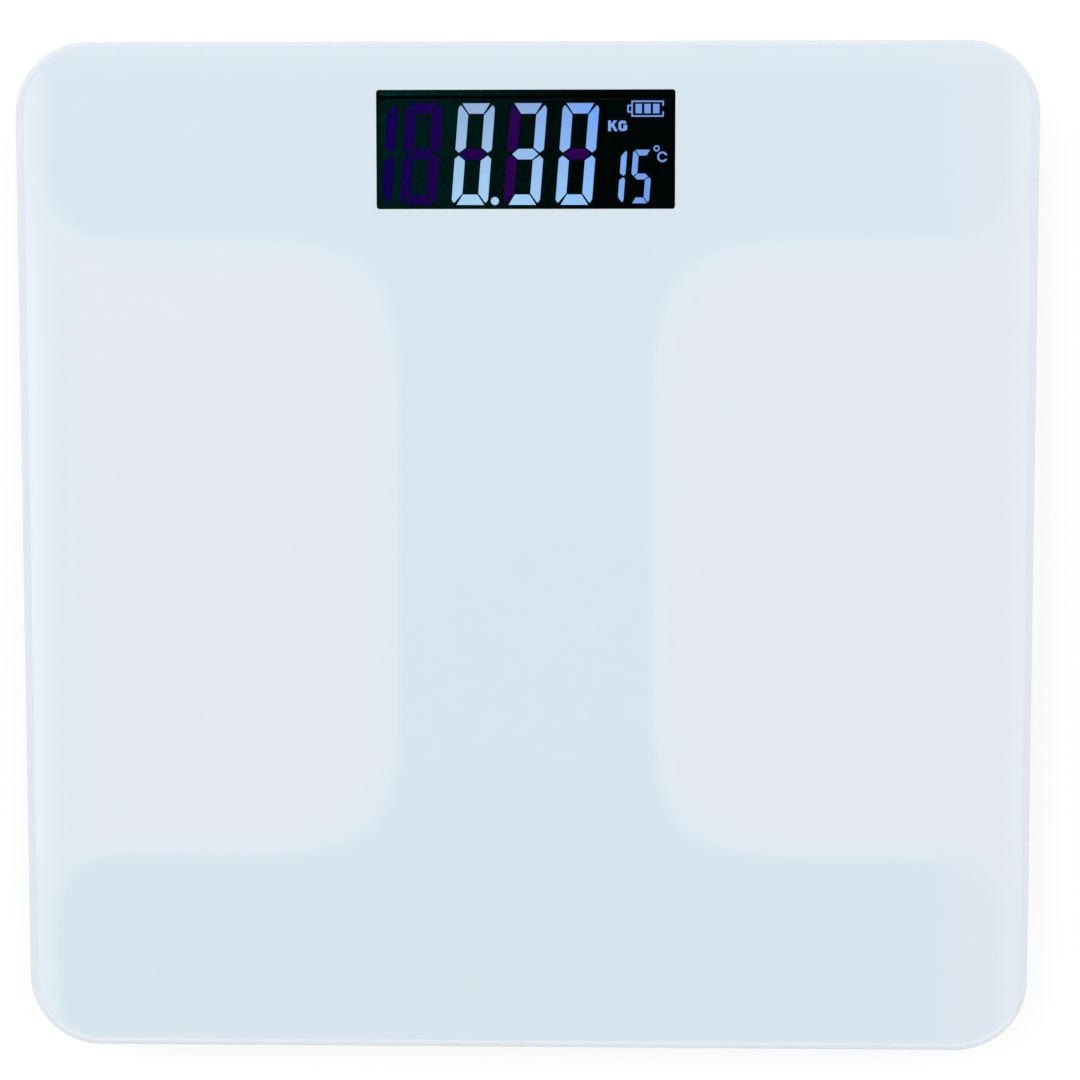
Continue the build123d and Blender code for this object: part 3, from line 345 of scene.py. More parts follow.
def plated(name, bright, dull, gloss, streaks):
    """A metal with the plating on it; the streaks are given in spots to the metre along each axis."""
    material, tree, shader = finish(name)
    values = {"Colour": bright, "Dull Colour": dull, "Gloss": gloss, "Streaks": streaks}
    skin = step(tree, "Group", values, node_tree=plated_metal).outputs
    feed(tree, shader, Base_Color=skin["Colour"], Roughness=skin["Roughness"], Normal=skin["Normal"])
    shader.inputs["Metallic"].default_value = 1.0
    return material


screw_zinc = plated(
    "screw_zinc", tone(206, 207, 210), tone(184, 187, 192), gloss=0.3, streaks=(2500, 2500, 900))
dress(screw_zinc, *[f"foot_screw_{foot}" for foot in FEET])


# Load cells: stamped steel plates, nickel plated, whose tongue bends at its neck under the foot.
# A strain gauge on the neck lies under soft white potting, and screws hold each plate's rim to its block.
NECK_ROOT = 11.5
NECK_END = 5.0
TONGUE_REACH = 7.5
TONGUE_HALF = 7.0
BEND_STEPS = 10
ROOT_GAP = 0.01
MERGE = 0.001
cell_steel = plated(
    "cell_steel", tone(196, 197, 199), tone(172, 174, 177), gloss=0.32, streaks=(300, 6000, 6000))
gauge_potting = skinned(
    "gauge_potting", tone(240, 240, 236), tone(228, 229, 222), gloss=0.4, grain_mm=1.2, depth_mm=0.02)
dress(screw_zinc, "cell_screws")


def cut_out(name, node, material, cuts, wanted):
    """A new piece from the wanted faces of a CAD node's mesh, cut across X and closed where it is open."""
    shape = bmesh.new()
    shape.from_mesh(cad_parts[node].data)
    bmesh.ops.remove_doubles(shape, verts=shape.verts, dist=MERGE * MM)
    for x in cuts:
        plane = {"plane_co": (x, 0, 0), "plane_no": (1, 0, 0)}
        everything = [*shape.verts, *shape.edges, *shape.faces]
        bmesh.ops.bisect_plane(shape, geom=everything, dist=MERGE * MM, **plane)
    spare = [face for face in shape.faces if not wanted(face.calc_center_median())]
    bmesh.ops.delete(shape, geom=spare, context="FACES")
    bmesh.ops.holes_fill(shape, edges=[edge for edge in shape.edges if edge.is_boundary])
    bmesh.ops.recalc_face_normals(shape, faces=shape.faces)
    mesh = bpy.data.meshes.new(name)
    shape.to_mesh(mesh)
    shape.free()
    mesh.materials.clear()
    mesh.materials.append(material)
    for face in mesh.polygons:
        face.material_index = 0
    if "custom_normal" in mesh.attributes:
        mesh.attributes.remove(mesh.attributes["custom_normal"])
    return shown(name, softened(mesh, crease_degrees=30))


def tongue_test(axis, inward):
    """A test of whether a point lies on the tongue of the load cell about a foot's axis."""
    def on_tongue(point):
        along = inward * (point.x - axis.x) / MM
        beside = abs(point.y - axis.y)
        return beside < TONGUE_HALF * MM and -TONGUE_REACH < along < NECK_ROOT - ROOT_GAP

    return on_tongue


for foot in FEET:
    low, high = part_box(f"foot_cap_{foot}")
    axis = (low + high) / 2
    inward = -1 if axis.x > 0 else 1
    root, end = [axis.x + inward * place * MM for place in (NECK_ROOT, NECK_END)]
    bends = [root + (end - root) * n / BEND_STEPS for n in range(BEND_STEPS + 1)]
    on_tongue = tongue_test(axis, inward)
    cell = f"load_cell_{foot}"
    rim = cut_out(f"cell_rim_{foot}", cell, cell_steel, [root], lambda point: not on_tongue(point))
    tongue = cut_out(f"cell_tongue_{foot}", cell, cell_steel, bends, on_tongue)
    gauge = cut_out(f"gauge_potting_{foot}", "strain_gauges", gauge_potting, bends, on_tongue)
    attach(rim, "scale_body")
    for piece in (tongue, gauge):
        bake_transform(piece)
    for piece in (rim, tongue):
        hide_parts(cell)
    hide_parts("strain_gauges")


# Wires: three thin leads from each gauge and two from the battery, tinned copper in soft coloured sheaths.
# They lie between guides on the base's floor and are soldered to the board.
red_sheath = skinned(
    "red_sheath", tone(203, 36, 34), tone(182, 28, 30), gloss=0.42, grain_mm=0.6, depth_mm=0.004)
black_sheath = skinned(
    "black_sheath", tone(38, 38, 40), tone(29, 29, 31), gloss=0.45, grain_mm=0.6, depth_mm=0.004)
white_sheath = skinned(
    "white_sheath", tone(238, 238, 235), tone(226, 227, 224), gloss=0.45, grain_mm=0.6, depth_mm=0.004)
dress(red_sheath, "cell_wires_red", "battery_wire_red")
dress(black_sheath, "cell_wires_black", "battery_wire_black")
dress(white_sheath, "cell_wires_white")


# Battery bay: two AAA cells in plain shrunk sleeves between nickel-plated spring contacts.
# The white door below slides off along its rails, and the cells come out by hand.
BAND_START = 0.27


def along_axes(tree, where=None):
    """A point's place along each axis: on its piece in metres, unless another place is given."""
    return step(tree, "SeparateXYZ", {0: where or place_on_piece(tree)}).outputs


def sleeve_finish():
    """A plain printed sleeve: slate grey, with a paler band next to the plus end of each cell."""
    material, tree, shader = finish("battery_sleeve")
    low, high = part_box("battery_sleeves")
    where = along_axes(tree)
    off_middle = sums(tree, "SUBTRACT", (low.y + high.y) / 2, where["Y"])
    to_plus = sums(tree, "MULTIPLY", off_middle, sums(tree, "SIGN", where["X"]))
    band = sums(tree, "GREATER_THAN", to_plus, BAND_START * (high.y - low.y))
    cloud = noise(tree, spots=90.0, detail=3.0)
    body = mixed(tree, cloud, tone(92, 100, 112), tone(80, 88, 100))
    cap = mixed(tree, cloud, tone(206, 208, 211), tone(190, 193, 197))
    feed(tree, shader, Base_Color=mixed(tree, band, body, cap),
         Roughness=spread(tree, cloud, base=0.16, span=0.15))
    shader.inputs["Coat Weight"].default_value = 0.4
    return material


dress(sleeve_finish(), "battery_sleeves")
cell_can = plated(
    "cell_can", tone(214, 214, 216), tone(196, 198, 201), gloss=0.22, streaks=(1800, 120, 1800))
dress(cell_can, "battery_cells")
contact_nickel = plated(
    "contact_nickel", tone(222, 219, 212), tone(204, 202, 197), gloss=0.2, streaks=(900, 900, 5200))
dress(contact_nickel, "contact_plus", "contact_minus", "contact_bridge")


# Unit switch and room sensor: a press switch below the board with a round button in the base's floor.
# The sensor is a resin bead on two tinned leads, in a cradle beside the vents.
dress(grey_moulding, "unit_button")
black_moulding = skinned(
    "black_moulding", tone(34, 34, 36), tone(27, 27, 29), gloss=0.5, grain_mm=0.3, depth_mm=0.005)
dress(black_moulding, "unit_switch", "switch_plunger")
sensor_resin = skinned(
    "sensor_resin", tone(134, 84, 40), tone(112, 66, 30), gloss=0.24, grain_mm=1.0, depth_mm=0.004)
dress(sensor_resin, "thermistor")
tinned_lead = plated(
    "tinned_lead", tone(220, 220, 220), tone(200, 201, 203), gloss=0.28, streaks=(700, 700, 4000))
dress(tinned_lead, "thermistor_leads")


# Main board: green glass-fibre laminate with copper tracks under its mask, held by the display's screws.
# Below it sit the controller under a blob of resin, a crystal, two capacitors and a row of chip resistors.
TRACK_WIDTH = 0.16
TRACK_RUN = 7.3
TRACK_PITCH = 1.25
TRACK_RISE = 0.03
CAPACITOR_SHARE = 0.3


def board_finish():
    """Green mask over copper tracks, which show as paler lines."""
    material, tree, shader = finish("board_mask")
    layout = {
        "Vector": place_on_piece(tree), "Scale": 1.0, "Mortar Size": TRACK_WIDTH * MM, "Mortar Smooth": 0.1,
        "Brick Width": TRACK_RUN * MM, "Row Height": TRACK_PITCH * MM, "Bias": 0.0,
    }
    tracks = step(tree, "TexBrick", layout, offset=0.37, squash=0.7, squash_frequency=3).outputs["Fac"]
    weave = noise(tree, spots=2100.0)
    mask = mixed(tree, weave, tone(26, 96, 58), tone(22, 84, 50))
    bump = step(tree, "Bump", {"Strength": 0.5, "Distance": TRACK_RISE * MM, "Height": tracks})
    feed(tree, shader, Base_Color=mixed(tree, tracks, mask, tone(52, 132, 82)),
         Normal=bump.outputs["Normal"], Roughness=spread(tree, weave, base=0.24, span=0.12))
    return material


def component_finish():
    """Three kinds of body by their place: capacitors to the left, the crystal behind, chips in front."""
    material, tree, shader = finish("component_bodies")
    low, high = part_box("board_components")
    where = along_axes(tree)
    left = sums(tree, "LESS_THAN", where["X"], low.x + CAPACITOR_SHARE * (high.x - low.x))
    behind = sums(tree, "GREATER_THAN", where["Y"], (low.y + high.y) / 2)
    cloud = noise(tree, spots=700.0, detail=3.0)
    chip = mixed(tree, cloud, tone(40, 40, 42), tone(30, 30, 32))
    can = mixed(tree, cloud, tone(206, 207, 209), tone(188, 190, 193))
    sleeve = mixed(tree, cloud, tone(44, 52, 92), tone(36, 43, 80))
    crystal = sums(tree, "MULTIPLY", behind, sums(tree, "SUBTRACT", 1.0, left))
    feed(tree, shader, Base_Color=mixed(tree, left, mixed(tree, crystal, chip, can), sleeve),
         Metallic=crystal, Roughness=spread(tree, cloud, base=0.25, span=0.2))
    return material


dress(board_finish(), "main_board")
dress(component_finish(), "board_components")
blob_resin = skinned(
    "blob_resin", tone(24, 24, 25), tone(17, 17, 18), gloss=0.26, grain_mm=1.5, depth_mm=0.01)
dress(blob_resin, "controller_blob")


# Display: a black-ground liquid crystal panel in a black frame, lit from behind through an acrylic guide.
# Two lamps feed the guide, and a strip of layered rubber joins the panel to the board.
# A polarising film takes most of the gloss off the panel's front glass.
LAYER = 0.25
DARK_LAYER_FROM = 0.12
GUIDE_DOTS = 900.0
GUIDE_DOT_R = 0.28
GUIDE_IOR = 1.49
LEDGE = 0.8
FILM_IOR = 1.15
FILM_TINTS = ([0.97, 0.98, 0.98, 1.0], [0.985, 0.99, 0.99, 1.0])
# Painted light on the panel's ground and on the ledge mask: lighter and greener at the left, dark to the
# right.
LIGHT_FADE_SPAN = (0.05, 0.75)
GROUND_LIGHT_TONES = (tone(0, 31, 29), tone(0, 6, 6))
LEDGE_LIGHT_TONES = (tone(0, 76, 78), tone(0, 6, 6))
LIT_STOPS = (
    (0.42, tone(172, 217, 253), tone(147, 174, 218)),
    (0.72, tone(150, 199, 253), tone(116, 165, 249)),
    (0.88, tone(118, 161, 240), tone(121, 157, 230)),
)
UNLIT_STOPS = (
    (0.06, tone(15, 0, 72), tone(17, 0, 82)),
    (0.5, tone(44, 0, 72), tone(48, 0, 84)),
)
dress(black_moulding, "display_frame")
dress(screw_zinc, "display_screws")


def layered_rubber_finish():
    """Thin dark conducting layers in pale rubber, side by side along the strip."""
    material, tree, shader = finish("layered_rubber")
    layer = sums(tree, "PINGPONG", along_axes(tree)["X"], LAYER * MM)
    dark = sums(tree, "GREATER_THAN", layer, DARK_LAYER_FROM * MM)
    cloud = noise(tree, spots=900.0)
    pale = mixed(tree, cloud, tone(214, 208, 196), tone(198, 192, 180))
    feed(tree, shader, Base_Color=mixed(tree, dark, pale, tone(44, 44, 46)),
         Roughness=spread(tree, cloud, base=0.55, span=0.2))
    return material


def dotted_guide_finish():
    """Clear acrylic with rows of fine white dots that send the light up to the panel."""
    material, tree, shader = finish("light_guide")
    layout = {"Vector": place_on_piece(tree), "Scale": GUIDE_DOTS, "Randomness": 0.15}
    dots = step(tree, "TexVoronoi", layout).outputs["Distance"]
    spot = sums(tree, "LESS_THAN", dots, GUIDE_DOT_R)
    feed(tree, shader, Base_Color=mixed(tree, spot, tone(232, 238, 244), tone(252, 252, 252)),
         Roughness=spread(tree, spot, base=0.08, span=0.4))
    shader.inputs["Transmission Weight"].default_value = 0.6
    shader.inputs["IOR"].default_value = GUIDE_IOR
    return material


dress(layered_rubber_finish(), "contact_strip")
dress(dotted_guide_finish(), "light_guide")
reflector_film = skinned(
    "reflector_film", tone(248, 248, 248), tone(241, 242, 243), gloss=0.3, grain_mm=1.0, depth_mm=0.002)
dress(reflector_film, "reflector_sheet")
lamp_body = skinned(
    "lamp_body", tone(246, 240, 206), tone(240, 232, 190), gloss=0.3, grain_mm=0.8, depth_mm=0.003)
dress(lamp_body, "backlight_leds")
seal_resin = skinned(
    "seal_resin", tone(20, 22, 28), tone(14, 16, 22), gloss=0.25, grain_mm=0.8, depth_mm=0.002)
dress(seal_resin, "lcd_seal")
gasket_foam = skinned(
    "gasket_foam", tone(20, 20, 21), tone(14, 14, 15), gloss=0.85, grain_mm=0.25, depth_mm=0.02)
dress(gasket_foam, "window_gasket")
window_low, window_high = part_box("lcd_rear_glass")


def between(tree, value, start, end, kind="LINEAR"):
    """How far a value has come from a start to an end, held between 0 and 1."""
    stretch = {"Value": value, "From Min": start, "From Max": end}
    return step(tree, "MapRange", stretch, interpolation_type=kind).outputs["Result"]


def across_window(tree, stops):
    """A colour that changes over the panel's width and height.

    Each stop has its place along the width, from 0 to 1, its colour at the bottom and its colour at the top.
    """
    where = along_axes(tree)
    up = between(tree, where["Y"], window_low.y, window_high.y)
    places = [window_low.x + stop[0] * (window_high.x - window_low.x) for stop in stops]
    bottom, top = stops[0][1:]
    for start, end, stop in zip(places, places[1:], stops[1:]):
        along = between(tree, where["X"], start, end)
        bottom = mixed(tree, along, bottom, stop[1])
        top = mixed(tree, along, top, stop[2])
    return mixed(tree, up, bottom, top)


def painted_light_fade(tree, tones):
    """Painted light: a tone that is lighter at the panel's left and darkens to its right."""
    return across_window(tree, [(place, shade, shade) for place, shade in zip(LIGHT_FADE_SPAN, tones)])


def dark_ground_finish():
    """The panel's black ground, with painted light that makes it a little green to the left."""
    material, tree, shader = finish("dark_ground")
    cloud = noise(tree, spots=60.0)
    feed(tree, shader, Base_Color=painted_light_fade(tree, GROUND_LIGHT_TONES),
         Roughness=spread(tree, cloud, base=0.2, span=0.1))
    shader.inputs["Specular IOR Level"].default_value = 0.0
    return material


def segment_finish(name, strength, stops):
    """Segments that let the back light through, with a slight mottle."""
    material, tree, shader = finish(name)
    cloud = noise(tree, spots=500.0)
    glow = {0: across_window(tree, stops), "Scale": spread(tree, cloud, base=1.04, span=-0.08)}
    mottled = step(tree, "VectorMath", glow, operation="SCALE").outputs["Vector"]
    feed(tree, shader, Emission_Color=mottled, Roughness=spread(tree, cloud, base=0.3, span=0.1))
    shader.inputs["Base Color"].default_value = tone(2, 2, 6)
    shader.inputs["Emission Strength"].default_value = strength
    shader.inputs["Specular IOR Level"].default_value = 0.0
    return material


dress(dark_ground_finish(), "lcd_rear_glass")
dress(segment_finish("lit_glow", strength=1.08, stops=LIT_STOPS), "lit_segments")
dress(segment_finish("unlit_glow", strength=1.1, stops=UNLIT_STOPS), "unlit_segments")


def show_surface(tree, shader):
    """Makes a shader the surface of its material, in place of the first one."""
    end = next(node for node in tree.nodes if node.type == "OUTPUT_MATERIAL")
    tree.links.new(shader.outputs["Shader"], end.inputs["Surface"])


def clear_glass(name, ior, clearness, cover):
    """Glass whose surface is given by a function of its node tree.

    Light for what lies below passes straight through it, so that its underside stays bright.
    """
    material, tree, shader = finish(name)
    shader.inputs["Transmission Weight"].default_value = clearness
    shader.inputs["Roughness"].default_value = 0.0
    shader.inputs["IOR"].default_value = ior
    feed(tree, shader, **cover(tree))
    rays = step(tree, "LightPath").outputs
    lets_by = sums(tree, "MAXIMUM", rays["Is Shadow Ray"], rays["Is Diffuse Ray"])
    through = step(tree, "BsdfTransparent")
    choice = {0: lets_by, 1: shader.outputs["BSDF"], 2: through.outputs["BSDF"]}
    show_surface(tree, step(tree, "MixShader", choice))
    return material


def masked_ledge(tree):
    """Clear display glass, with a dark mask over the ledge that lies on the contact strip, the mask's tint
    lighter and greener to the left with painted light.
    """
    tints = mixed(tree, noise(tree, spots=25.0), *FILM_TINTS)
    ledge = sums(tree, "GREATER_THAN", along_axes(tree)["Y"], window_high.y - LEDGE * MM)
    return {"Base_Color": mixed(tree, ledge, tints, painted_light_fade(tree, LEDGE_LIGHT_TONES))}


dress(clear_glass("display_glass", FILM_IOR, clearness=1.0, cover=masked_ledge), "lcd_front_glass")


# Glue bead: white silicone laid along the base's rim, which bonds the base to the printed glass.
# It is squeezed flat when the glass is set down on it, and it cures to a soft, slightly uneven band.
silicone = skinned(
    "white_silicone", tone(236, 238, 239), tone(226, 229, 231), gloss=0.38, grain_mm=1.6, depth_mm=0.03)
dress(silicone, "glue_bead")


# Back print: a white translucent coat fired on the underside of the glass, left clear over the display.
# The coat's colour holds painted shade, a pale blue I with soft edges where the base lies behind it. Beside
# the base it is painted paler with light, and its rim is painted lighter, most at the left.
BAR_HALF = (132.0, 30.0)
BAR_AT = 116.5
BAR_CORNER = 17.0
COLUMN_HALF = 35.0
COLUMN_CORNER = 1.0
INNER_ROUND = 52.0
NEAR_EDGE = (-1.6, 1.8)
SOFT_EDGE = (0.5, 7.0)
# The soft I is painted shade of the base behind the coat. Beside the base the coat is painted lighter, more
# so towards its right end and less at its left end.
MARGIN = (122.0, 132.0)
LIT_END = (95.0, 128.0)
LIT_END_SHARE = 0.35
# The rim is painted light: strongest at the left, weaker on the right and the top, none at the bottom, and
# weaker again by the bars.
RIM = (131.0, 137.5)
RIM_LIGHT_SIDES = ((-1, "X", 0.6), (1, "X", 0.2), (1, "Y", 0.25))
BAR_RIM_LIGHT_LOSS = 0.55
BAR_RIM_LIGHT_FADE = 8.0
SPECK_SHARE = 0.05
# Tones of the coat with its painted shade and painted light.
SHADE_BEHIND_BASE = tone(216, 229, 238)
HALF_SHADE_NEAR_BASE = tone(224, 234, 243)
LIGHT_BESIDE_BASE = tone(228, 232, 243)
RIM_LIGHT_TONE = tone(240, 244, 252)


def rounded_distance_effect():
    """How far a point lies outside a rounded rectangle in the print's plane; inside it is below zero."""
    tree, given = effect(
        "rounded_distance",
        {"Place": "Vector", "Centre": "Vector", "Half": "Vector", "Corner": "Float"},
        {"Distance": "Float"},
    )
    ends = {0: given["Place"], 1: given["Centre"]}
    moved = step(tree, "VectorMath", ends, operation="SUBTRACT").outputs[0]
    folded = step(tree, "VectorMath", {0: moved}, operation="ABSOLUTE").outputs[0]
    beyond = step(tree, "VectorMath", {0: folded, 1: given["Half"]}, operation="SUBTRACT").outputs[0]
    parts = along_axes(tree, beyond)
    x, y = [sums(tree, "ADD", parts[axis], given["Corner"]) for axis in "XY"]
    far_x, far_y = [sums(tree, "MAXIMUM", value, 0.0) for value in (x, y)]
    squares = sums(tree, "MULTIPLY_ADD", far_x, far_x, sums(tree, "MULTIPLY", far_y, far_y))
    inside = sums(tree, "MINIMUM", sums(tree, "MAXIMUM", x, y), 0.0)
    to_arc = sums(tree, "ADD", sums(tree, "SQRT", squares), inside)
    return close_effect(tree, {"Distance": sums(tree, "SUBTRACT", to_arc, given["Corner"])})


rounded_distance = rounded_distance_effect()


def print_and_shade_finish():
    """The white coat, with painted shade in the soft I shape of the base behind it, painted light beside the
    base and a painted rim of light.
    """
    material, tree, shader = finish("white_print")
    where = place_on_piece(tree)

    def away_from(centre_y, half_x, half_y, corner):
        values = {
            "Place": where, "Centre": (0.0, centre_y * MM, 0.0),
            "Half": (half_x * MM, half_y * MM, 0.0), "Corner": corner * MM,
        }
        return step(tree, "Group", values, node_tree=rounded_distance).outputs["Distance"]

    def ramp(value, low, high):
        return between(tree, value, low * MM, high * MM, "SMOOTHSTEP")

    bars = [away_from(side * BAR_AT, *BAR_HALF, BAR_CORNER) for side in (-1, 1)]
    column = away_from(0.0, COLUMN_HALF, BAR_AT, COLUMN_CORNER)
    # Painted shade in the I shape of the base, with soft edges, and painted light beside it.
    base = sums(tree, "SMOOTH_MIN", sums(tree, "MINIMUM", *bars), column, INNER_ROUND * MM)
    parts = along_axes(tree, where)
    margin = ramp(sums(tree, "MULTIPLY", parts["X"], -1), *MARGIN)
    half_shade = ramp(base, *NEAR_EDGE)
    beside = sums(tree, "MULTIPLY", ramp(base, *SOFT_EDGE), sums(tree, "SUBTRACT", 1.0, margin))
    paler = sums(tree, "MULTIPLY", ramp(parts["X"], *LIT_END), LIT_END_SHARE)
    beside = sums(tree, "MAXIMUM", beside, paler)
    coat = mixed(tree, beside, mixed(tree, half_shade, SHADE_BEHIND_BASE, HALF_SHADE_NEAR_BASE), LIGHT_BESIDE_BASE)
    bar_edge = BAR_AT - BAR_HALF[1]
    at_bars = ramp(sums(tree, "ABSOLUTE", parts["Y"]), bar_edge - BAR_RIM_LIGHT_FADE, bar_edge + BAR_RIM_LIGHT_FADE)
    weaker_rim_light = spread(tree, at_bars, base=1.0, span=-BAR_RIM_LIGHT_LOSS)
    # A painted rim of light along the coat's edges.
    painted_rim_light = 0.0
    for side, axis, strength in RIM_LIGHT_SIDES:
        outward = sums(tree, "MULTIPLY", parts[axis], side)
        here = sums(tree, "MULTIPLY", ramp(outward, *RIM), strength)
        here = sums(tree, "MULTIPLY", here, weaker_rim_light) if axis == "X" else here
        painted_rim_light = sums(tree, "MAXIMUM", painted_rim_light, here)
    coat = mixed(tree, painted_rim_light, coat, RIM_LIGHT_TONE)
    speck = noise(tree, spots=1500.0)
    feed(tree, shader, Base_Color=mixed(tree, sums(tree, "MULTIPLY", speck, SPECK_SHARE), coat, HALF_SHADE_NEAR_BASE),
         Roughness=spread(tree, speck, base=0.5, span=0.1))
    shader.inputs["Specular IOR Level"].default_value = 0.0
    return material


dress(print_and_shade_finish(), "back_print")


# Glass platform: one square sheet of clear tempered glass, 5 mm thick, its edge ground round and left matt.
# It is bonded to the base through the print, and a person stands on its bare top.
EDGE_R = 1.5
FLAT_FROM = 1.2
CORNER_R = 20.0
EDGE_STEPS = 10
CORNER_STEPS = 40
PRINT_GAP = 0.01
GLASS_IOR = 1.52
GLASS_TINTS = ([0.985, 0.995, 0.992, 1.0], [0.992, 0.998, 0.996, 1.0])
EDGE_TINT = tone(232, 235, 240)
DULL_EDGE_TINT = tone(223, 227, 233)
EDGE_CLEARNESS = 0.4
# A darker, bluer band of painted shade along both arrises of the ground edge.
ARRIS = 0.12
ARRIS_SHADE_TINT = tone(217, 227, 238)
POLISHED = 0
GROUND = 1
glass_low, glass_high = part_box("glass_platform")


def rounded_square(half, corner, height):
    """Points round a square with rounded corners, all at one height."""
    points = []
    for quarter in range(4):
        middle = radians(45 + 90 * quarter)
        centre = (half - corner) * Vector((round(cos(middle) * 2**0.5), round(sin(middle) * 2**0.5)))
        for n in range(CORNER_STEPS + 1):
            turn = radians(90 * quarter + 90 * n / CORNER_STEPS)
            points.append((centre.x + corner * cos(turn), centre.y + corner * sin(turn), height))
    return points


def glass_mesh(half, low, high):
    """A sheet built from rings that follow its rounded edge, from its underside to its top."""
    edge, corner = EDGE_R * MM, CORNER_R * MM
    rings = [(FLAT_FROM * edge, low)]
    for n in range(EDGE_STEPS + 1):
        turn = radians(90 * n / EDGE_STEPS)
        rings.append((edge * (1 - sin(turn)), low + edge * (1 - cos(turn))))
    rings += [(inset, low + high - height) for inset, height in reversed(rings)]
    shape = bmesh.new()
    loops = []
    for inset, height in rings:
        points = rounded_square(half - inset, corner - inset, height)
        loops.append([shape.verts.new(point) for point in points])
    for below, above in zip(loops, loops[1:]):
        for n in range(len(below)):
            after = (n + 1) % len(below)
            face = shape.faces.new((below[n], below[after], above[after], above[n]))
            face.material_index = POLISHED if above is loops[-1] else GROUND
    shape.faces.new(list(reversed(loops[0])))
    shape.faces.new(loops[-1])
    mesh = bpy.data.meshes.new("glass_sheet")
    shape.to_mesh(mesh)
    shape.free()
    mesh.shade_smooth()
    return mesh


def polished_face(tree):
    """The faint green of clear glass."""
    return {"Base_Color": mixed(tree, noise(tree, spots=25.0), *GLASS_TINTS)}


def ground_edge(tree):
    """The matt edge that grinding leaves: pale and a little uneven, with painted shade in a darker, bluer
    band where it meets a face.
    """
    cloud = noise(tree, spots=900.0, detail=3.0)
    middle, half = (glass_high.z + glass_low.z) / 2, (glass_high.z - glass_low.z) / 2
    off_middle = sums(tree, "ABSOLUTE", sums(tree, "SUBTRACT", along_axes(tree)["Z"], middle))
    arris_shade = between(tree, off_middle, half - ARRIS * MM, half)
    return {"Base_Color": mixed(tree, arris_shade, mixed(tree, cloud, EDGE_TINT, DULL_EDGE_TINT), ARRIS_SHADE_TINT),
            "Roughness": spread(tree, cloud, base=0.35, span=0.2)}


sheet_mesh = glass_mesh(glass_high.x, glass_low.z + PRINT_GAP * MM, glass_high.z)
sheet_mesh.materials.append(clear_glass("platform_glass", GLASS_IOR, clearness=1.0, cover=polished_face))
sheet_mesh.materials.append(clear_glass("ground_glass", GLASS_IOR, EDGE_CLEARNESS, cover=ground_edge))
glass_sheet = shown("glass_sheet", sheet_mesh)
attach(glass_sheet, "scale_body")
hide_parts("glass_platform")


# Studio: a plain white floor, an even pale surround that is dark overhead, and a soft lamp to either side.
# The floor takes the object's shadow, and cannot be seen from below.
FLOOR_HALF = 3.0
FLOOR_ALBEDO = 0.32
FLOOR_DRIFT = 0.99
FLOOR_GLOW = 0.70
SURROUND = 0.93
UNDER_FLOOR = 0.68
HORIZON = (-0.1, 0.1)
DARK_ABOVE = (0.90, 0.95)
OVERHEAD = [0.002, 0.006, 0.005, 1.0]
LAMP_SIZE = 2.4
LAMPS = {"left_lamp": ((-2.6, 1.9, 3.2), 56.0), "right_lamp": ((2.6, 1.9, 3.2), 39.0)}


def grey(level):
    """A linear grey."""
    return [level, level, level, 1.0]


def white_floor():
    """A white floor for the camera that still takes shadows, and lets the eye through from below."""
    material, tree, shader = finish("studio_floor")
    cloud = noise(tree, spots=3.0)
    feed(tree, shader, Base_Color=mixed(tree, cloud, grey(FLOOR_ALBEDO), grey(FLOOR_ALBEDO * FLOOR_DRIFT)))
    shader.inputs["Roughness"].default_value = 0.9
    shader.inputs["Specular IOR Level"].default_value = 0.0
    rays = step(tree, "LightPath").outputs
    seen = sums(tree, "MAXIMUM", rays["Is Camera Ray"], rays["Is Glossy Ray"])
    seen = sums(tree, "MAXIMUM", seen, rays["Is Transmission Ray"])
    glow = step(tree, "Emission", {"Strength": sums(tree, "MULTIPLY", seen, FLOOR_GLOW)})
    both = step(tree, "AddShader", {0: shader.outputs["BSDF"], 1: glow.outputs["Emission"]})
    below = step(tree, "NewGeometry").outputs["Backfacing"]
    lets_by = sums(tree, "MAXIMUM", below, rays["Is Diffuse Ray"])
    clear = step(tree, "BsdfTransparent")
    choice = {0: lets_by, 1: both.outputs["Shader"], 2: clear.outputs["BSDF"]}
    show_surface(tree, step(tree, "MixShader", choice))
    return material


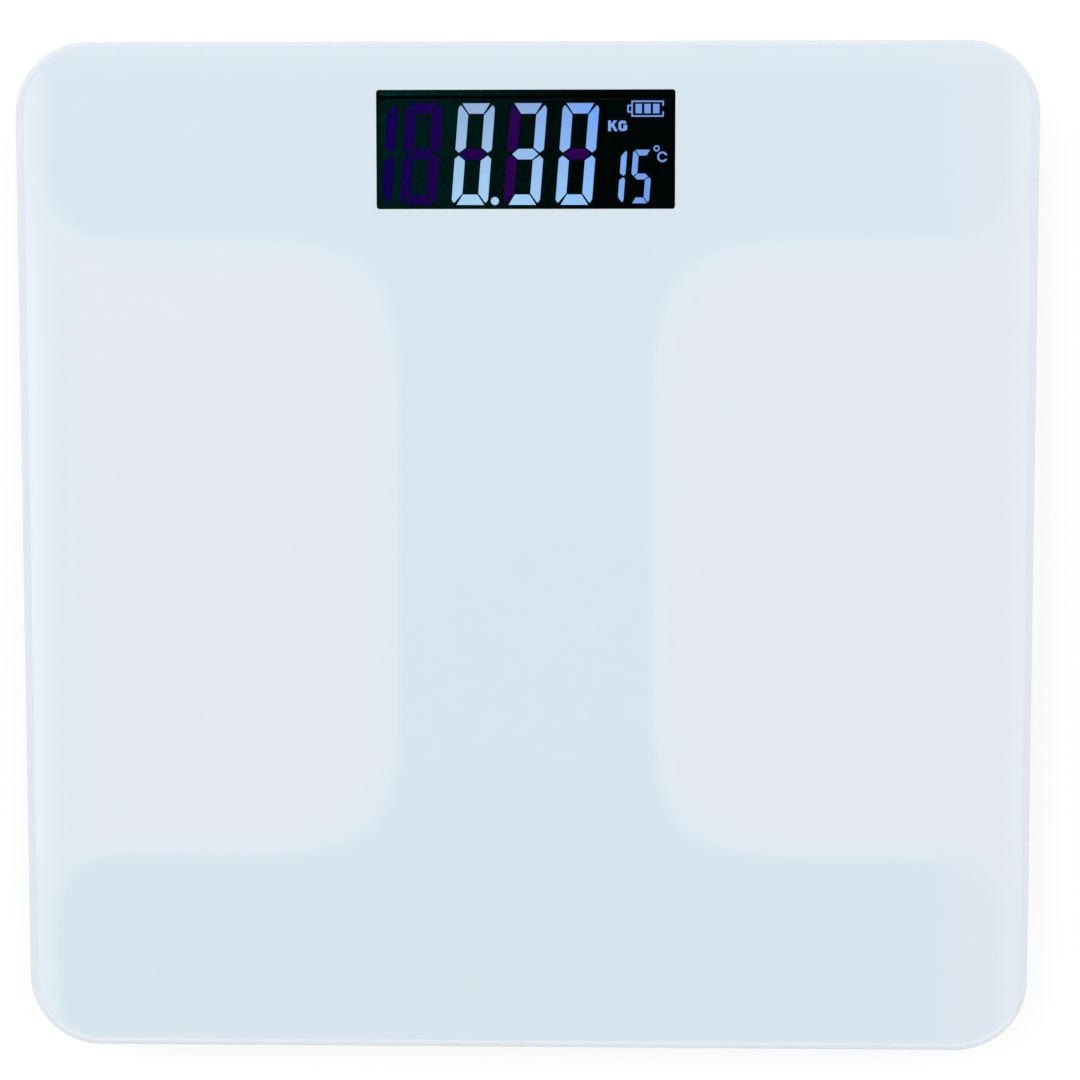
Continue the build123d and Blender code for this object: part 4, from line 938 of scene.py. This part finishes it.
floor_mesh = bpy.data.meshes.new("studio_floor")
ways = ((-1, -1), (1, -1), (1, 1), (-1, 1))
corners = [(x * FLOOR_HALF, y * FLOOR_HALF, cad_box[0][2]) for x, y in ways]
floor_mesh.from_pydata(corners, [], [(0, 1, 2, 3)])
floor_mesh.materials.append(white_floor())
shown("studio_floor", floor_mesh)

world = bpy.data.worlds.new("studio")
bpy.context.scene.world = world
world.use_nodes = True
sky = world.node_tree
sky.nodes.clear()
height = along_axes(sky, step(sky, "TexCoord").outputs["Generated"])["Z"]
shade = mixed(sky, between(sky, height, *HORIZON), grey(UNDER_FLOOR), grey(SURROUND))
shade = mixed(sky, between(sky, height, *DARK_ABOVE), shade, OVERHEAD)
surround = step(sky, "Background", {"Color": shade, "Strength": 1.0})
backdrop = step(sky, "Background", {"Color": grey(1.0), "Strength": 1.0})
seen = step(sky, "LightPath").outputs["Is Camera Ray"]
either = step(sky, "MixShader", {0: seen, 1: surround.outputs[0], 2: backdrop.outputs[0]})
step(sky, "OutputWorld", {"Surface": either.outputs["Shader"]})

for name, (place, power) in LAMPS.items():
    lamp = bpy.data.lights.new(name, "AREA")
    lamp.size = LAMP_SIZE
    lamp.energy = power
    lamp_object = bpy.data.objects.new(name, lamp)
    facing = Vector(place).to_track_quat("Z", "Y").to_matrix().to_4x4()
    lamp_object.matrix_world = Matrix.Translation(place) @ facing
    bpy.context.scene.collection.objects.link(lamp_object)


# Camera: almost straight above the platform and a little towards the display.
# Its tilt, offset and lens are worked out from where the platform's corners lie in the picture.
CAMERA_TILT = (5.68, -1.77, -0.13)
CAMERA_OFFSET = Vector((-3.97, -3.48, -850.0)) * MM
LENS = 102.45
SENSOR = 36.0

turn = Matrix.Identity(3)
for angle, axis in zip(CAMERA_TILT, "XYZ"):
    turn = turn @ Matrix.Rotation(radians(-angle), 3, axis)
camera = bpy.data.cameras.new("camera")
camera.lens = LENS
camera.sensor_width = SENSOR
camera.clip_start = 10 * MM
camera_object = bpy.data.objects.new("camera", camera)
top_middle = Vector((0.0, 0.0, cad_box[1][2]))
camera_object.matrix_world = Matrix.Translation(top_middle - turn @ CAMERA_OFFSET) @ turn.to_4x4()
bpy.context.scene.collection.objects.link(camera_object)
bpy.context.scene.camera = camera_object
bpy.context.scene.view_settings.view_transform = "Standard"
